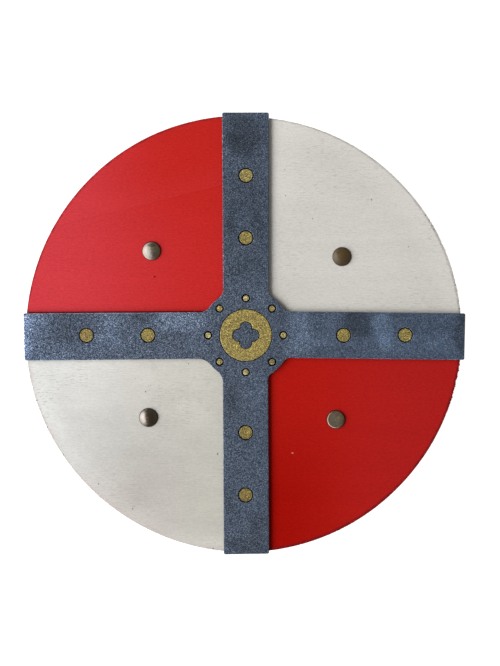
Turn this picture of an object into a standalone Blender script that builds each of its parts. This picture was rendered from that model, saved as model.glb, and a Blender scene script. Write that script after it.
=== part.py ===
"""A wooden round shield: a plywood board painted in quarters, with a cross laid over it.

The cross is cut from thin sheet and has gold pieces let into it: a medallion in the hub, a ring of
small studs round that and two studs in each arm. Four domed rivets go through the board and hold two
leather straps on its back. The shield lies on those straps, face up.

Lengths are in metres. The origin is on the floor under the middle of the cross's span, +Y is the
shield's top and +Z comes out of the painted face.
"""

import math

import bmesh
import bpy
from mathutils import Matrix, Vector

# Gap kept between pieces that touch
FIT_GAP = 0.0003

# Board
BOARD_DIAMETER = 0.380
BOARD_THICKNESS = 0.006
BOARD_EDGE_ROUND = 0.0006
BOARD_SHIFT_X = -0.0009
BOARD_SEGMENTS = 144

# Cross: its span is centred on the origin, and its arms meet a little off that middle
CROSS_THICKNESS = 0.003
CROSS_EDGE_ROUND = 0.0007
ARM_WIDTH = 0.0405
ARM_OVERHANG = 0.0025
ARM_CORNER_RADIUS = 0.0015
HUB_CENTRE_X = 0.0013
HUB_CENTRE_Y = -0.0015
HUB_FILLET = 0.004

# Medallion and the four-lobed piece in it
MEDALLION_DIAMETER = 0.045
LOBE_RADIUS = 0.005
LOBE_SPREAD = 1.28
INLAY_GROOVE = 0.0006

# Ring of small studs round the medallion, with the sheet left inside and outside their holes
RING_STUD_COUNT = 8
RING_STUD_DIAMETER = 0.0052
RING_STUD_GROOVE = 0.0008
RING_WALL_INSIDE = 0.0060
RING_WALL_OUTSIDE = 0.0041
RING_STUD_PLAY = 0.0003

# Studs in the arms: where they sit along an arm's free run, from the hub's edge to its end
ARM_STUD_DIAMETER = 0.0115
ARM_STUD_PLACES = {"inner": 0.295, "outer": 0.649}
ARM_STUD_PLAY = 0.0002

# Rivets, placed on the board by eye as on the real shield
RIVET_PLACES = {
    "upper_left": (-0.0810, 0.0719),
    "upper_right": (0.0850, 0.0669),
    "lower_left": (-0.0836, -0.0734),
    "lower_right": (0.0797, -0.0751),
}
RIVET_HEAD_DIAMETER = 0.0165
RIVET_HEAD_HEIGHT = 0.0040
RIVET_HEAD_RIM = 0.0005
RIVET_SHANK_DIAMETER = 0.006
RIVET_SHANK_CLEARANCE = 0.0003
RIVET_CAP_DIAMETER = 0.012
RIVET_CAP_THICKNESS = 0.0015
RIVET_CAP_RIM = 0.0008
RIVET_SEGMENTS = 24

# Straps: each runs from one rivet to the other and lies flat between, clear of the board
STRAP_WIDTH = 0.025
STRAP_THICKNESS = 0.003
STRAP_ROOM = 0.020
STRAP_END_MARGIN = 0.012
STRAP_END_ROUND = 0.010
STRAP_BEND_RADIUS = 0.010
STRAP_SLOPE = math.radians(45)
STRAP_TAB_MARGIN = 0.003

# Smoothness of the arcs
CORNER_STEPS = 4
HUB_ARC_STEPS = 9
LOBE_STEPS = 9
BEND_STEPS = 4
DOME_STEPS = 5
MEDALLION_SEGMENTS = 48
ARM_STUD_SEGMENTS = 20
RING_STUD_SEGMENTS = 14
SHANK_SEGMENTS = 16
SMOOTH_ANGLE = math.radians(35)
CORNER_ANGLE = math.radians(60)
FLAT_ANGLE = math.radians(1)
WELD_DISTANCE = 0.00001

# Heights above the floor
BOARD_BACK = STRAP_THICKNESS + STRAP_ROOM
BOARD_FACE = BOARD_BACK + BOARD_THICKNESS
CROSS_BACK = BOARD_FACE + FIT_GAP
CROSS_FACE = CROSS_BACK + CROSS_THICKNESS
TAB_TOP = BOARD_BACK - FIT_GAP
TAB_BOTTOM = TAB_TOP - STRAP_THICKNESS

# Places and radii that follow from the sizes above
HUB_CENTRE = Vector((HUB_CENTRE_X, HUB_CENTRE_Y))
BOARD_CENTRE = Vector((BOARD_SHIFT_X, 0.0))
CROSS_REACH = BOARD_DIAMETER / 2 + ARM_OVERHANG
MEDALLION_HOLE = MEDALLION_DIAMETER / 2 + INLAY_GROOVE
RING_STUD_HOLE = RING_STUD_DIAMETER / 2 + RING_STUD_GROOVE
RING_RADIUS = MEDALLION_HOLE + RING_WALL_INSIDE + RING_STUD_HOLE
HUB_RADIUS = RING_RADIUS + RING_STUD_HOLE + RING_WALL_OUTSIDE
ARM_STUD_HOLE = ARM_STUD_DIAMETER / 2 + INLAY_GROOVE
SHANK_HOLE = RIVET_SHANK_DIAMETER / 2 + RIVET_SHANK_CLEARANCE

ARM_ANGLES = {"right": 0.0, "top": 90.0, "left": 180.0, "bottom": 270.0}
RED_QUARTERS = ("upper_left", "lower_right")

# Colours as linear red, green and blue, then roughness and metallic
FINISHES = {
    "red_paint": ((0.50, 0.020, 0.020), 0.50, 0.0),
    "white_paint": ((0.62, 0.60, 0.55), 0.55, 0.0),
    "bare_plywood": ((0.66, 0.47, 0.28), 0.70, 0.0),
    "gunmetal_paint": ((0.070, 0.098, 0.156), 0.45, 0.3),
    "gold_paint": ((0.28, 0.22, 0.08), 0.45, 0.4),
    "aged_brass": ((0.40, 0.31, 0.17), 0.35, 1.0),
    "brown_leather": ((0.15, 0.065, 0.028), 0.60, 0.0),
}


def clear_scene():
    for old in list(bpy.data.objects):
        bpy.data.objects.remove(old, do_unlink=True)


def new_collection(name):
    collection = bpy.data.collections.new(name)
    bpy.context.scene.collection.children.link(collection)
    return collection


def new_material(name):
    colour, roughness, metallic = FINISHES[name]
    material = bpy.data.materials.new(name)
    material.use_nodes = True
    shader = material.node_tree.nodes["Principled BSDF"]
    shader.inputs["Base Color"].default_value = (*colour, 1.0)
    shader.inputs["Roughness"].default_value = roughness
    shader.inputs["Metallic"].default_value = metallic
    return material


def arc(centre, radius, start, end, steps):
    """Points on an arc from one angle to another, in degrees, both ends included."""
    angles = [math.radians(start + (end - start) * step / steps) for step in range(steps + 1)]
    return [(centre[0] + radius * math.cos(a), centre[1] + radius * math.sin(a)) for a in angles]


def turned(points, degrees):
    """Points turned about the origin of their plane."""
    turn = Matrix.Rotation(math.radians(degrees), 2)
    return [tuple(turn @ Vector(point)) for point in points]


def filled_curve(name, outlines, thickness):
    """A flat plate from closed outlines, the outer one first and its holes after it."""
    curve = bpy.data.curves.new(name, "CURVE")
    curve.dimensions = "2D"
    curve.fill_mode = "BOTH"
    curve.extrude = thickness / 2
    for outline in outlines:
        spline = curve.splines.new("POLY")
        spline.points.add(len(outline) - 1)
        for point, (x, y) in zip(spline.points, outline):
            point.co = (x, y, 0.0, 1.0)
        spline.use_cyclic_u = True
    return bpy.data.objects.new(name, curve)


def as_mesh(source, collection, material=None):
    """The source object, made one closed mesh in the same place and put in the collection."""
    name = source.name
    bpy.context.scene.collection.objects.link(source)
    graph = bpy.context.evaluated_depsgraph_get()
    mesh = bpy.data.meshes.new_from_object(source.evaluated_get(graph))
    place = source.matrix_world.copy()
    bpy.data.objects.remove(source, do_unlink=True)
    shape = bmesh.new()
    shape.from_mesh(mesh)
    bmesh.ops.remove_doubles(shape, verts=shape.verts, dist=WELD_DISTANCE)
    bmesh.ops.recalc_face_normals(shape, faces=shape.faces)
    shape.to_mesh(mesh)
    shape.free()
    smooth(mesh)
    solid = bpy.data.objects.new(name, mesh)
    solid.matrix_world = place
    finish(solid, collection, material)
    return solid


def cylinders(name, rounds, bottom, top):
    """Upright cylinders in one mesh, one for each (x, y, radius, segments)."""
    shape = bmesh.new()
    for x, y, radius, segments in rounds:
        bmesh.ops.create_cone(
            shape,
            cap_ends=True,
            segments=segments,
            radius1=radius,
            radius2=radius,
            depth=top - bottom,
            matrix=Matrix.Translation((x, y, (bottom + top) / 2)),
        )
    mesh = bpy.data.meshes.new(name)
    shape.to_mesh(mesh)
    shape.free()
    smooth(mesh)
    return bpy.data.objects.new(name, mesh)


def smooth(mesh):
    mesh.shade_smooth()
    mesh.set_sharp_from_angle(angle=SMOOTH_ANGLE)


def finish(obj, collection, material=None):
    """Puts an object in its collection, with its material if it has only one."""
    collection.objects.link(obj)
    if material:
        obj.data.materials.clear()
        obj.data.materials.append(material)


def hide_cutter(cutter, cutters):
    finish(cutter, cutters)
    cutter.display_type = "WIRE"
    cutter.hide_render = True


def merge_flat_faces(mesh):
    """Makes each flat side one face again, so that its edges can be rounded evenly."""
    shape = bmesh.new()
    shape.from_mesh(mesh)
    bmesh.ops.dissolve_limit(shape, angle_limit=FLAT_ANGLE, verts=shape.verts, edges=shape.edges)
    shape.to_mesh(mesh)
    shape.free()


def round_edges(obj, width, segments):
    bevel = obj.modifiers.new("rounded edges", "BEVEL")
    bevel.width = width
    bevel.segments = segments
    bevel.limit_method = "ANGLE"
    bevel.angle_limit = CORNER_ANGLE


def add_boolean(obj, other, operation):
    boolean = obj.modifiers.new(other.name, "BOOLEAN")
    boolean.operation = operation
    boolean.solver = "EXACT"
    boolean.object = other


def cut_through(obj, cutter, cutters):
    hide_cutter(cutter, cutters)
    add_boolean(obj, cutter, "DIFFERENCE")


def paint_quarters(board, red, white, wood):
    """Splits the board along the cross's middle lines and paints its face in four quarters."""
    shape = bmesh.new()
    shape.from_mesh(board.data)
    for normal in ((1, 0, 0), (0, 1, 0)):
        bmesh.ops.bisect_plane(
            shape,
            geom=shape.verts[:] + shape.edges[:] + shape.faces[:],
            dist=WELD_DISTANCE,
            plane_co=(HUB_CENTRE.x, HUB_CENTRE.y, 0.0),
            plane_no=normal,
        )
    for face in shape.faces:
        middle = face.calc_center_median()
        side = "right" if middle.x > HUB_CENTRE.x else "left"
        level = "upper" if middle.y > HUB_CENTRE.y else "lower"
        is_red = f"{level}_{side}" in RED_QUARTERS
        is_face = face.normal.z > 0.5
        face.material_index = (0 if is_red else 1) if is_face else 2
    shape.to_mesh(board.data)
    shape.free()
    for material in (red, white, wood):
        board.data.materials.append(material)


def make_board(parts, cutters, materials):
    rim = (BOARD_CENTRE.x, BOARD_CENTRE.y, BOARD_DIAMETER / 2, BOARD_SEGMENTS)
    board = cylinders("board", [rim], BOARD_BACK, BOARD_FACE)
    finish(board, parts)
    paint_quarters(board, materials["red_paint"], materials["white_paint"], materials["bare_plywood"])
    round_edges(board, BOARD_EDGE_ROUND, 1)
    holes = [(x, y, SHANK_HOLE, SHANK_SEGMENTS) for x, y in RIVET_PLACES.values()]
    cutter = cylinders("rivet_holes", holes, BOARD_BACK - FIT_GAP, BOARD_FACE + FIT_GAP)
    cut_through(board, cutter, cutters)


def arm_outline(reach):
    """One arm that points right and the stretch of hub after it, with the hub's centre at (0, 0)."""
    half = ARM_WIDTH / 2
    fillet_y = half + HUB_FILLET
    fillet_x = math.sqrt((HUB_RADIUS + HUB_FILLET) ** 2 - fillet_y ** 2)
    touch = math.degrees(math.atan2(fillet_y, fillet_x))
    corner_x = reach - ARM_CORNER_RADIUS
    corner_y = half - ARM_CORNER_RADIUS
    points = arc((fillet_x, -fillet_y), HUB_FILLET, 180 - touch, 90, CORNER_STEPS)
    points += arc((corner_x, -corner_y), ARM_CORNER_RADIUS, -90, 0, CORNER_STEPS)
    points += arc((corner_x, corner_y), ARM_CORNER_RADIUS, 0, 90, CORNER_STEPS)
    points += arc((fillet_x, fillet_y), HUB_FILLET, 270, 180 + touch, CORNER_STEPS)
    points += arc((0, 0), HUB_RADIUS, touch, 90 - touch, HUB_ARC_STEPS)[1:-1]
    return points


def cross_outline():
    outline = []
    for degrees in ARM_ANGLES.values():
        along = Vector((1, 0)) @ Matrix.Rotation(-math.radians(degrees), 2)
        reach = CROSS_REACH - HUB_CENTRE.dot(along)
        outline += [tuple(Vector(point) + HUB_CENTRE) for point in turned(arm_outline(reach), degrees)]
    return outline


def arm_stud_places():
    """The middle of each arm stud's hole, by name."""
    run = CROSS_REACH - HUB_RADIUS
    places = {}
    for arm, degrees in ARM_ANGLES.items():
        for step, share in ARM_STUD_PLACES.items():
            point = turned([(HUB_RADIUS + run * share, 0)], degrees)[0]
            places[f"arm_stud_{arm}_{step}"] = Vector(point) + HUB_CENTRE
    return places


def ring_stud_places():
    """The middle of each ring stud's hole, by name."""
    places = {}
    for index in range(RING_STUD_COUNT):
        point = turned([(RING_RADIUS, 0)], 360 * index / RING_STUD_COUNT)[0]
        places[f"ring_stud_{index + 1}"] = Vector(point) + HUB_CENTRE
    return places


def make_cross(parts, cutters, material):
    plate = filled_curve("cross", [cross_outline()], CROSS_THICKNESS)
    plate.location.z = (CROSS_BACK + CROSS_FACE) / 2
    cross = as_mesh(plate, parts, material)
    merge_flat_faces(cross.data)
    round_edges(cross, CROSS_EDGE_ROUND, 2)
    holes = [(*HUB_CENTRE, MEDALLION_HOLE, MEDALLION_SEGMENTS)]
    holes += [(*place, ARM_STUD_HOLE, ARM_STUD_SEGMENTS) for place in arm_stud_places().values()]
    holes += [(*place, RING_STUD_HOLE, RING_STUD_SEGMENTS) for place in ring_stud_places().values()]
    cutter = cylinders("inlay_holes", holes, CROSS_BACK - FIT_GAP, CROSS_FACE + FIT_GAP)
    cut_through(cross, cutter, cutters)


def four_lobes(groove):
    """A quatrefoil outline, grown by the groove all round."""
    radius = LOBE_RADIUS + groove
    spread = LOBE_RADIUS * LOBE_SPREAD
    meet = (spread + math.sqrt(2 * radius ** 2 - spread ** 2)) / 2
    half_turn = math.degrees(math.atan2(meet, meet - spread))
    outline = []
    for quarter in range(4):
        lobe = arc((spread, 0), radius, -half_turn, half_turn, LOBE_STEPS)
        outline += turned(lobe[:-1], 90 * quarter)
    return outline


def make_medallion(parts, gold, gunmetal):
    """The gold disc in the hub, and the quatrefoil let into it."""
    rim = arc((0, 0), MEDALLION_DIAMETER / 2, 0, 360, MEDALLION_SEGMENTS)[:-1]
    pieces = {
        "medallion": ([rim, four_lobes(INLAY_GROOVE)], gold),
        "medallion_motif": ([four_lobes(0.0)], gunmetal),
    }
    for name, (outlines, material) in pieces.items():
        plate = filled_curve(name, outlines, CROSS_THICKNESS)
        plate.location = (*HUB_CENTRE, (CROSS_BACK + CROSS_FACE) / 2)
        as_mesh(plate, parts, material)


def make_studs(parts, gold):
    """Gold discs, flush in the cross and each a hair off the middle of its hole."""
    golden_angle = math.pi * (3 - math.sqrt(5))
    kinds = (
        ("arm_stud", arm_stud_places(), ARM_STUD_DIAMETER, ARM_STUD_SEGMENTS, ARM_STUD_PLAY),
        ("ring_stud", ring_stud_places(), RING_STUD_DIAMETER, RING_STUD_SEGMENTS, RING_STUD_PLAY),
    )
    for kind, places, diameter, segments, play in kinds:
        model = cylinders(kind, [(0, 0, diameter / 2, segments)], CROSS_BACK, CROSS_FACE)
        for index, (name, place) in enumerate(places.items()):
            stud = bpy.data.objects.new(name, model.data)
            shift = Vector((math.cos(golden_angle * index), math.sin(golden_angle * index))) * play
            stud.location = (*(place + shift), 0.0)
            parts.objects.link(stud)
        model.data.materials.append(gold)
        bpy.data.objects.remove(model, do_unlink=True)


def dome(radius, height, base, direction):
    """Radii and heights of a low round cap, from its crown to its edge."""
    sphere = (radius ** 2 + height ** 2) / (2 * height)
    edge = math.asin(radius / sphere)
    angles = [edge * step / DOME_STEPS for step in range(DOME_STEPS + 1)]
    crown = base + direction * height
    return [(sphere * math.sin(a), crown - direction * sphere * (1 - math.cos(a))) for a in angles]


def make_rivets(parts, brass):
    """One turned profile: domed head, shank through board and strap, and the cap on the back."""
    underside = BOARD_FACE + FIT_GAP
    shank = RIVET_SHANK_DIAMETER / 2
    cap_top = TAB_BOTTOM - FIT_GAP
    head_height = RIVET_HEAD_HEIGHT - RIVET_HEAD_RIM
    cap_height = RIVET_CAP_THICKNESS - RIVET_CAP_RIM
    profile = dome(RIVET_HEAD_DIAMETER / 2, head_height, underside + RIVET_HEAD_RIM, 1)
    profile += [(RIVET_HEAD_DIAMETER / 2, underside), (shank, underside)]
    profile += [(shank, cap_top), (RIVET_CAP_DIAMETER / 2, cap_top)]
    profile += reversed(dome(RIVET_CAP_DIAMETER / 2, cap_height, cap_top - RIVET_CAP_RIM, -1))
    outline = bpy.data.meshes.new("rivet")
    chain = [(index, index + 1) for index in range(len(profile) - 1)]
    outline.from_pydata([(radius, 0.0, height) for radius, height in profile], chain, [])
    pattern = bpy.data.objects.new("rivet_pattern", outline)
    screw = pattern.modifiers.new("turned", "SCREW")
    screw.steps = RIVET_SEGMENTS
    screw.render_steps = RIVET_SEGMENTS
    screw.use_merge_vertices = True
    screw.merge_threshold = WELD_DISTANCE
    turned_rivet = as_mesh(pattern, parts, brass)
    for name, place in RIVET_PLACES.items():
        rivet = bpy.data.objects.new(f"rivet_{name}", turned_rivet.data)
        rivet.location = (*place, 0.0)
        parts.objects.link(rivet)
    bpy.data.objects.remove(turned_rivet, do_unlink=True)


def strap_run(half_spacing):
    """Middle line of half a strap, from its middle to its end, as (distance, height, slope)."""
    drop = STRAP_ROOM - FIT_GAP
    low = STRAP_THICKNESS / 2
    radius = min(STRAP_BEND_RADIUS, drop / (2 * (1 - math.cos(STRAP_SLOPE))))
    bend_rise = radius * (1 - math.cos(STRAP_SLOPE))
    bend_run = radius * math.sin(STRAP_SLOPE)
    slope_run = (drop - 2 * bend_rise) / math.tan(STRAP_SLOPE)
    tab_start = half_spacing - RIVET_CAP_DIAMETER / 2 - STRAP_TAB_MARGIN
    flat_end = tab_start - slope_run - 2 * bend_run
    slopes = [STRAP_SLOPE * step / BEND_STEPS for step in range(BEND_STEPS + 1)]
    line = [(flat_end + radius * math.sin(s), low + radius * (1 - math.cos(s)), s) for s in slopes]
    for s in reversed(slopes):
        line.append((tab_start - radius * math.sin(s), low + drop - radius * (1 - math.cos(s)), s))
    past_end = half_spacing + STRAP_END_MARGIN + STRAP_THICKNESS
    line.append((past_end, low + drop, 0.0))
    return line


def strap_side(half_spacing):
    """Closed outline of a strap seen from its side."""
    right = strap_run(half_spacing)
    left = [(-distance, height, -slope) for distance, height, slope in reversed(right)]
    half = STRAP_THICKNESS / 2
    line = left + right
    under = [(d + half * math.sin(s), h - half * math.cos(s)) for d, h, s in line]
    over = [(d - half * math.sin(s), h + half * math.cos(s)) for d, h, s in reversed(line)]
    return under + over


def strap_plan(half_spacing):
    """A strap's outline from above, with rounded ends, and its two rivet holes."""
    half_length = half_spacing + STRAP_END_MARGIN
    half_width = STRAP_WIDTH / 2
    corner = min(STRAP_END_ROUND, half_width)
    corners = ((1, 1, 0), (-1, 1, 90), (-1, -1, 180), (1, -1, 270))
    outline = []
    for x, y, start in corners:
        centre = (x * (half_length - corner), y * (half_width - corner))
        outline += arc(centre, corner, start, start + 90, CORNER_STEPS)
    holes = [arc((x, 0), SHANK_HOLE, 0, 360, SHANK_SEGMENTS)[:-1] for x in (-half_spacing, half_spacing)]
    return [outline, *holes]


def make_strap(name, start, end, parts, cutters, leather):
    """A bent band as thick as the leather, trimmed to the strap's outline from above."""
    along = end - start
    middle = (start + end) / 2
    half_spacing = along.length / 2
    turn = math.atan2(along.y, along.x)
    band = filled_curve(name, [strap_side(half_spacing)], STRAP_WIDTH + 2 * STRAP_THICKNESS)
    band.location = (*middle, 0.0)
    band.rotation_euler = (math.pi / 2, 0.0, turn)
    strap = as_mesh(band, parts, leather)
    plan = filled_curve(f"{name}_outline", strap_plan(half_spacing), 2 * BOARD_FACE)
    plan.location = (*middle, 0.0)
    plan.rotation_euler.z = turn
    trim = as_mesh(plan, cutters)
    trim.display_type = "WIRE"
    trim.hide_render = True
    add_boolean(strap, trim, "INTERSECT")


def make_straps(parts, cutters, leather):
    for side in ("left", "right"):
        start = Vector(RIVET_PLACES[f"lower_{side}"])
        end = Vector(RIVET_PLACES[f"upper_{side}"])
        make_strap(f"strap_{side}", start, end, parts, cutters, leather)


def main():
    clear_scene()
    parts = new_collection("round_shield")
    cutters = new_collection("cutters")
    materials = {name: new_material(name) for name in FINISHES}
    make_board(parts, cutters, materials)
    make_cross(parts, cutters, materials["gunmetal_paint"])
    make_medallion(parts, materials["gold_paint"], materials["gunmetal_paint"])
    make_studs(parts, materials["gold_paint"])
    make_rivets(parts, materials["aged_brass"])
    make_straps(parts, cutters, materials["brown_leather"])


main()
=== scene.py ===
"""A small round wooden shield, quartered in red and white, with a cross, gold inlays and brass rivets.

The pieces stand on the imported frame. Lengths are in metres, and +Y is the shield's top.
"""

import math

import bmesh
import bpy
from bpy.props import FloatProperty, FloatVectorProperty, PointerProperty
from bpy.types import Operator, Panel, PropertyGroup
from mathutils import Matrix, Vector


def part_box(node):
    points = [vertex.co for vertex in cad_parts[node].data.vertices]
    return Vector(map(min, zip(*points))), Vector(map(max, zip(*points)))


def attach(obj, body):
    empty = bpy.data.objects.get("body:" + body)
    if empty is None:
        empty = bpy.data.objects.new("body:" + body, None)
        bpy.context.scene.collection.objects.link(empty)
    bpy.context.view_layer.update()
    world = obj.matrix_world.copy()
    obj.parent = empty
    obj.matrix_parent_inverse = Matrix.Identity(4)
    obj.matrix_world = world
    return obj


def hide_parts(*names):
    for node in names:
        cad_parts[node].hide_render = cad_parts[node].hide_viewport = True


bl_info = {
    "name": "Round Wooden Shield",
    "version": (1, 0, 0),
    "blender": (4, 5, 0),
    "location": "View3D > Sidebar > Shield",
    "description": "Builds a quartered wooden shield with a gunmetal cross, inlays, rivets and straps",
    "category": "Add Mesh",
}

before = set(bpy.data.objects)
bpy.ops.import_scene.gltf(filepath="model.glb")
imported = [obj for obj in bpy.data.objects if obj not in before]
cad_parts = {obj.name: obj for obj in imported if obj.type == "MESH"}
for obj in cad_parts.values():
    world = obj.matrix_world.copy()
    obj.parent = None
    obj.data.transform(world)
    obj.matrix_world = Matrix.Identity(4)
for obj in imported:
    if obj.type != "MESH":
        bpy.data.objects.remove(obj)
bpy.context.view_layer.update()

MM = 0.001

ARMS = {"right": 0, "top": 90, "left": 180, "bottom": 270}
STEPS = ("inner", "outer")
RING_COUNT = 8
CORNERS = ("upper_left", "upper_right", "lower_left", "lower_right")
SIDES = ("left", "right")
PLIES = 5

# The arms are a little narrower towards their ends: half the width at the hub, and the loss per length
ARM_HALF = 20.25 * MM
ARM_TAPER = 0.0062


def middle_of(node):
    low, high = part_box(node)
    return (low + high) / 2


def size_of(node):
    low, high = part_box(node)
    return high - low


BOARD_LOW, BOARD_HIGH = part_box("board")
CROSS_LOW, CROSS_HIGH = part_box("cross")
HUB = middle_of("medallion")
BOARD_MIDDLE = middle_of("board")
RIVET_LOW, RIVET_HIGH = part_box("rivet_upper_left")
STRAP_LOW, STRAP_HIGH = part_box("strap_left")


# Sizes and colours


def length(name, description, default):
    return FloatProperty(name=name, description=description, default=default, min=0.0, unit="LENGTH")


def share(name, description, default):
    return FloatProperty(name=name, description=description, default=default, min=0.0)


def colour(name, description, default):
    return FloatVectorProperty(
        name=name, description=description, default=default, size=3, min=0.0, max=1.0, subtype="COLOR"
    )


class BoardSettings(PropertyGroup):
    diameter: length("Diameter", "Across the round board", size_of("board").x)
    thickness: length("Thickness", "Through the plywood", size_of("board").z)
    rim_round: length("Rim rounding", "Sanded edge at the face and the back", 0.6 * MM)
    ply_relief: length("Ply relief", "How far the glue lines stand back from the plies", 0.12 * MM)
    red: colour("Red paint", "Red of the lower right quarter", (0.432, 0.0090, 0.0056))
    faded_red: colour("Faded red", "Red of the upper left quarter", (0.560, 0.0230, 0.0216))
    white: colour("White paint", "White of the other two quarters", (0.600, 0.582, 0.542))
    veneer: colour("Veneer", "Bare plywood on the back", (0.560, 0.395, 0.230))


class CrossSettings(PropertyGroup):
    arm_width: length("Arm width", "Across each arm", 40.5 * MM)
    hub_radius: length("Hub radius", "Round middle of the cross", 40.2 * MM)
    fillet: length("Fillet", "Inner corners between the hub and the arms", 6.0 * MM)
    corner_radius: length("Corner radius", "Outer corners of the arms", 1.5 * MM)
    edge_round: length("Edge rounding", "Softened outer edge of the sheet", 0.7 * MM)
    hole_round: length("Hole rounding", "Softened edge of the inlays' holes", 0.45 * MM)
    gunmetal: colour("Gunmetal", "Sprayed blue-grey", (0.0455, 0.0640, 0.0980))
    cut_edge: colour("Cut edge", "Raw edge of the sheet", (0.0180, 0.0165, 0.0150))


class InlaySettings(PropertyGroup):
    groove: length("Groove", "Gap round the medallion and the quatrefoil", 0.6 * MM)
    stud_groove: length("Stud groove", "Gap round the arm studs", 0.9 * MM)
    ring_groove: length("Ring groove", "Gap round the small studs", 1.15 * MM)
    edge_round: length("Edge rounding", "Softened edge of each inlay", 0.25 * MM)
    ring_drop: length("Ring drop", "How deep the small studs sit in their holes", 0.30 * MM)
    lobe_radius: length("Lobe radius", "Each lobe of the quatrefoil", 5.0 * MM)
    lobe_spread: share("Lobe spread", "Lobe centres from the middle, in lobe radii", 1.28)
    gold: colour("Gold", "Sprayed gold", (0.250, 0.202, 0.060))


class RivetSettings(PropertyGroup):
    shank: length("Shank", "Across the rivet's shank", 6.0 * MM)
    hole_play: length("Hole play", "Room round the shank", 0.3 * MM)
    rim: length("Rim", "Straight rim under the dome", 0.5 * MM)
    cap_diameter: length("Cap diameter", "Across the cap on the back", 12.0 * MM)
    cap_thickness: length("Cap thickness", "Through the cap on the back", 1.5 * MM)
    brass: colour("Brass", "Brass that is still bright", (0.215, 0.178, 0.105))
    aged_brass: colour("Aged brass", "Tarnished brass", (0.105, 0.078, 0.055))
    oxide: colour("Oxide", "Oxidised brass", (0.104, 0.082, 0.050))
    # Colour of the painted sheen on the heads' side towards the light
    painted_sheen: colour("Polished side", "Where handling keeps the heads bright", (0.540, 0.495, 0.455))


class StrapSettings(PropertyGroup):
    width: length("Width", "Across the strap", 25.0 * MM)
    thickness: length("Thickness", "Through the leather", 3.0 * MM)
    end_margin: length("End margin", "From the rivet to the strap's end", 12.0 * MM)
    end_round: length("End rounding", "Corners of the strap's ends", 10.0 * MM)
    bend_radius: length("Bend radius", "Middle line of each bend", 10.0 * MM)
    tab_margin: length("Tab margin", "From the rivet's cap to the bend", 3.0 * MM)
    slope: FloatProperty(
        name="Slope", description="How steeply the strap leaves the board",
        default=math.radians(45), subtype="ANGLE", unit="ROTATION",
    )
    crease_margin: length("Crease margin", "From the edge to the creased line", 2.2 * MM)
    leather: colour("Leather", "Grain side", (0.150, 0.062, 0.026))
    flesh: colour("Flesh side", "Rough side, towards the board", (0.260, 0.150, 0.082))


class StageSettings(PropertyGroup):
    view_height: length("View height", "Height of the picture at the board's face", 581.0 * MM)
    view_x: FloatProperty(name="View X", description="Middle of the picture", default=4.9 * MM, unit="LENGTH")
    view_y: FloatProperty(name="View Y", description="Middle of the picture", default=0.4 * MM, unit="LENGTH")
    lens: FloatProperty(name="Lens", description="Focal length in millimetres", default=100.0, min=1.0)
    window_power: share("Window power", "Strength of the soft light from the left, in watts", 137.0)
    floor_glow: share("Floor glow", "How much the pale floor is lifted", 0.96)
    floor: colour("Floor", "Pale floor", (0.42, 0.42, 0.42))


SETTINGS = {
    "shield_board": BoardSettings,
    "shield_cross": CrossSettings,
    "shield_inlays": InlaySettings,
    "shield_rivets": RivetSettings,
    "shield_straps": StrapSettings,
    "shield_stage": StageSettings,
}


# Modelling steps


def only(piece):
    """Selects one object alone and makes it active."""
    bpy.ops.object.select_all(action="DESELECT")
    piece.select_set(True)
    bpy.context.view_layer.objects.active = piece


def place_in_mesh(piece):
    only(piece)
    bpy.ops.object.transform_apply(location=True, rotation=True, scale=True)


def block(name, low, high):
    """A cuboid between two corners."""
    low, high = Vector(low), Vector(high)
    bpy.ops.object.select_all(action="DESELECT")
    bpy.ops.mesh.primitive_cube_add(size=1, location=(low + high) / 2, scale=high - low)
    piece = bpy.context.object
    piece.name = piece.data.name = name
    place_in_mesh(piece)
    return piece


def peg(name, place, radius, low, high, segments):
    """An upright cylinder, centred on a place seen from above."""
    bpy.ops.object.select_all(action="DESELECT")
    bpy.ops.mesh.primitive_cylinder_add(
        vertices=segments, radius=radius, depth=high - low, location=(place[0], place[1], (low + high) / 2)
    )
    piece = bpy.context.object
    piece.name = piece.data.name = name
    place_in_mesh(piece)
    return piece


def joined(pieces):
    """Several objects made one, under the first one's name."""
    bpy.ops.object.select_all(action="DESELECT")
    for piece in pieces:
        piece.select_set(True)
    bpy.context.view_layer.objects.active = pieces[0]
    if len(pieces) > 1:
        bpy.ops.object.join()
    return pieces[0]


def combine(piece, other, operation):
    """Adds another shape to a piece or cuts it away. The other shape is used up."""
    only(piece)
    step = piece.modifiers.new("combine", "BOOLEAN")
    step.operation = operation
    step.solver = "EXACT"
    step.object = other
    bpy.ops.object.modifier_apply(modifier=step.name)
    bpy.data.objects.remove(other)


def begin(piece):
    """Opens a piece in edit mode with nothing selected."""
    only(piece)
    bpy.ops.object.mode_set(mode="EDIT")
    bpy.ops.mesh.select_all(action="DESELECT")


def end():
    bpy.ops.object.mode_set(mode="OBJECT")


def pick(piece, kind, test):
    """In edit mode, selects only the vertices, edges or faces that pass a test."""
    bpy.ops.mesh.select_mode(type=kind)
    bpy.ops.mesh.select_all(action="DESELECT")
    shape = bmesh.from_edit_mesh(piece.data)
    group = {"VERT": shape.verts, "EDGE": shape.edges, "FACE": shape.faces}[kind]
    found = [part for part in group if test(part)]
    for part in found:
        part.select_set(True)
    shape.select_flush_mode()
    bmesh.update_edit_mesh(piece.data)
    if not found:
        raise RuntimeError(f"nothing to select on {piece.name}")


def midpoint(edge):
    return (edge.verts[0].co + edge.verts[1].co) / 2


def is_upright(edge):
    along = edge.verts[1].co - edge.verts[0].co
    return along.length > 0 and abs(along.normalized().z) > 0.99


def is_level_rim(edge, heights):
    """An edge between a level face and a wall, at one of the heights."""
    z = midpoint(edge).z
    if is_upright(edge) or not any(abs(z - height) < 0.01 * MM for height in heights):
        return False
    tilts = sorted(abs(face.normal.z) for face in edge.link_faces)
    return len(tilts) == 2 and tilts[0] < 0.2 and tilts[1] > 0.8


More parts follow.
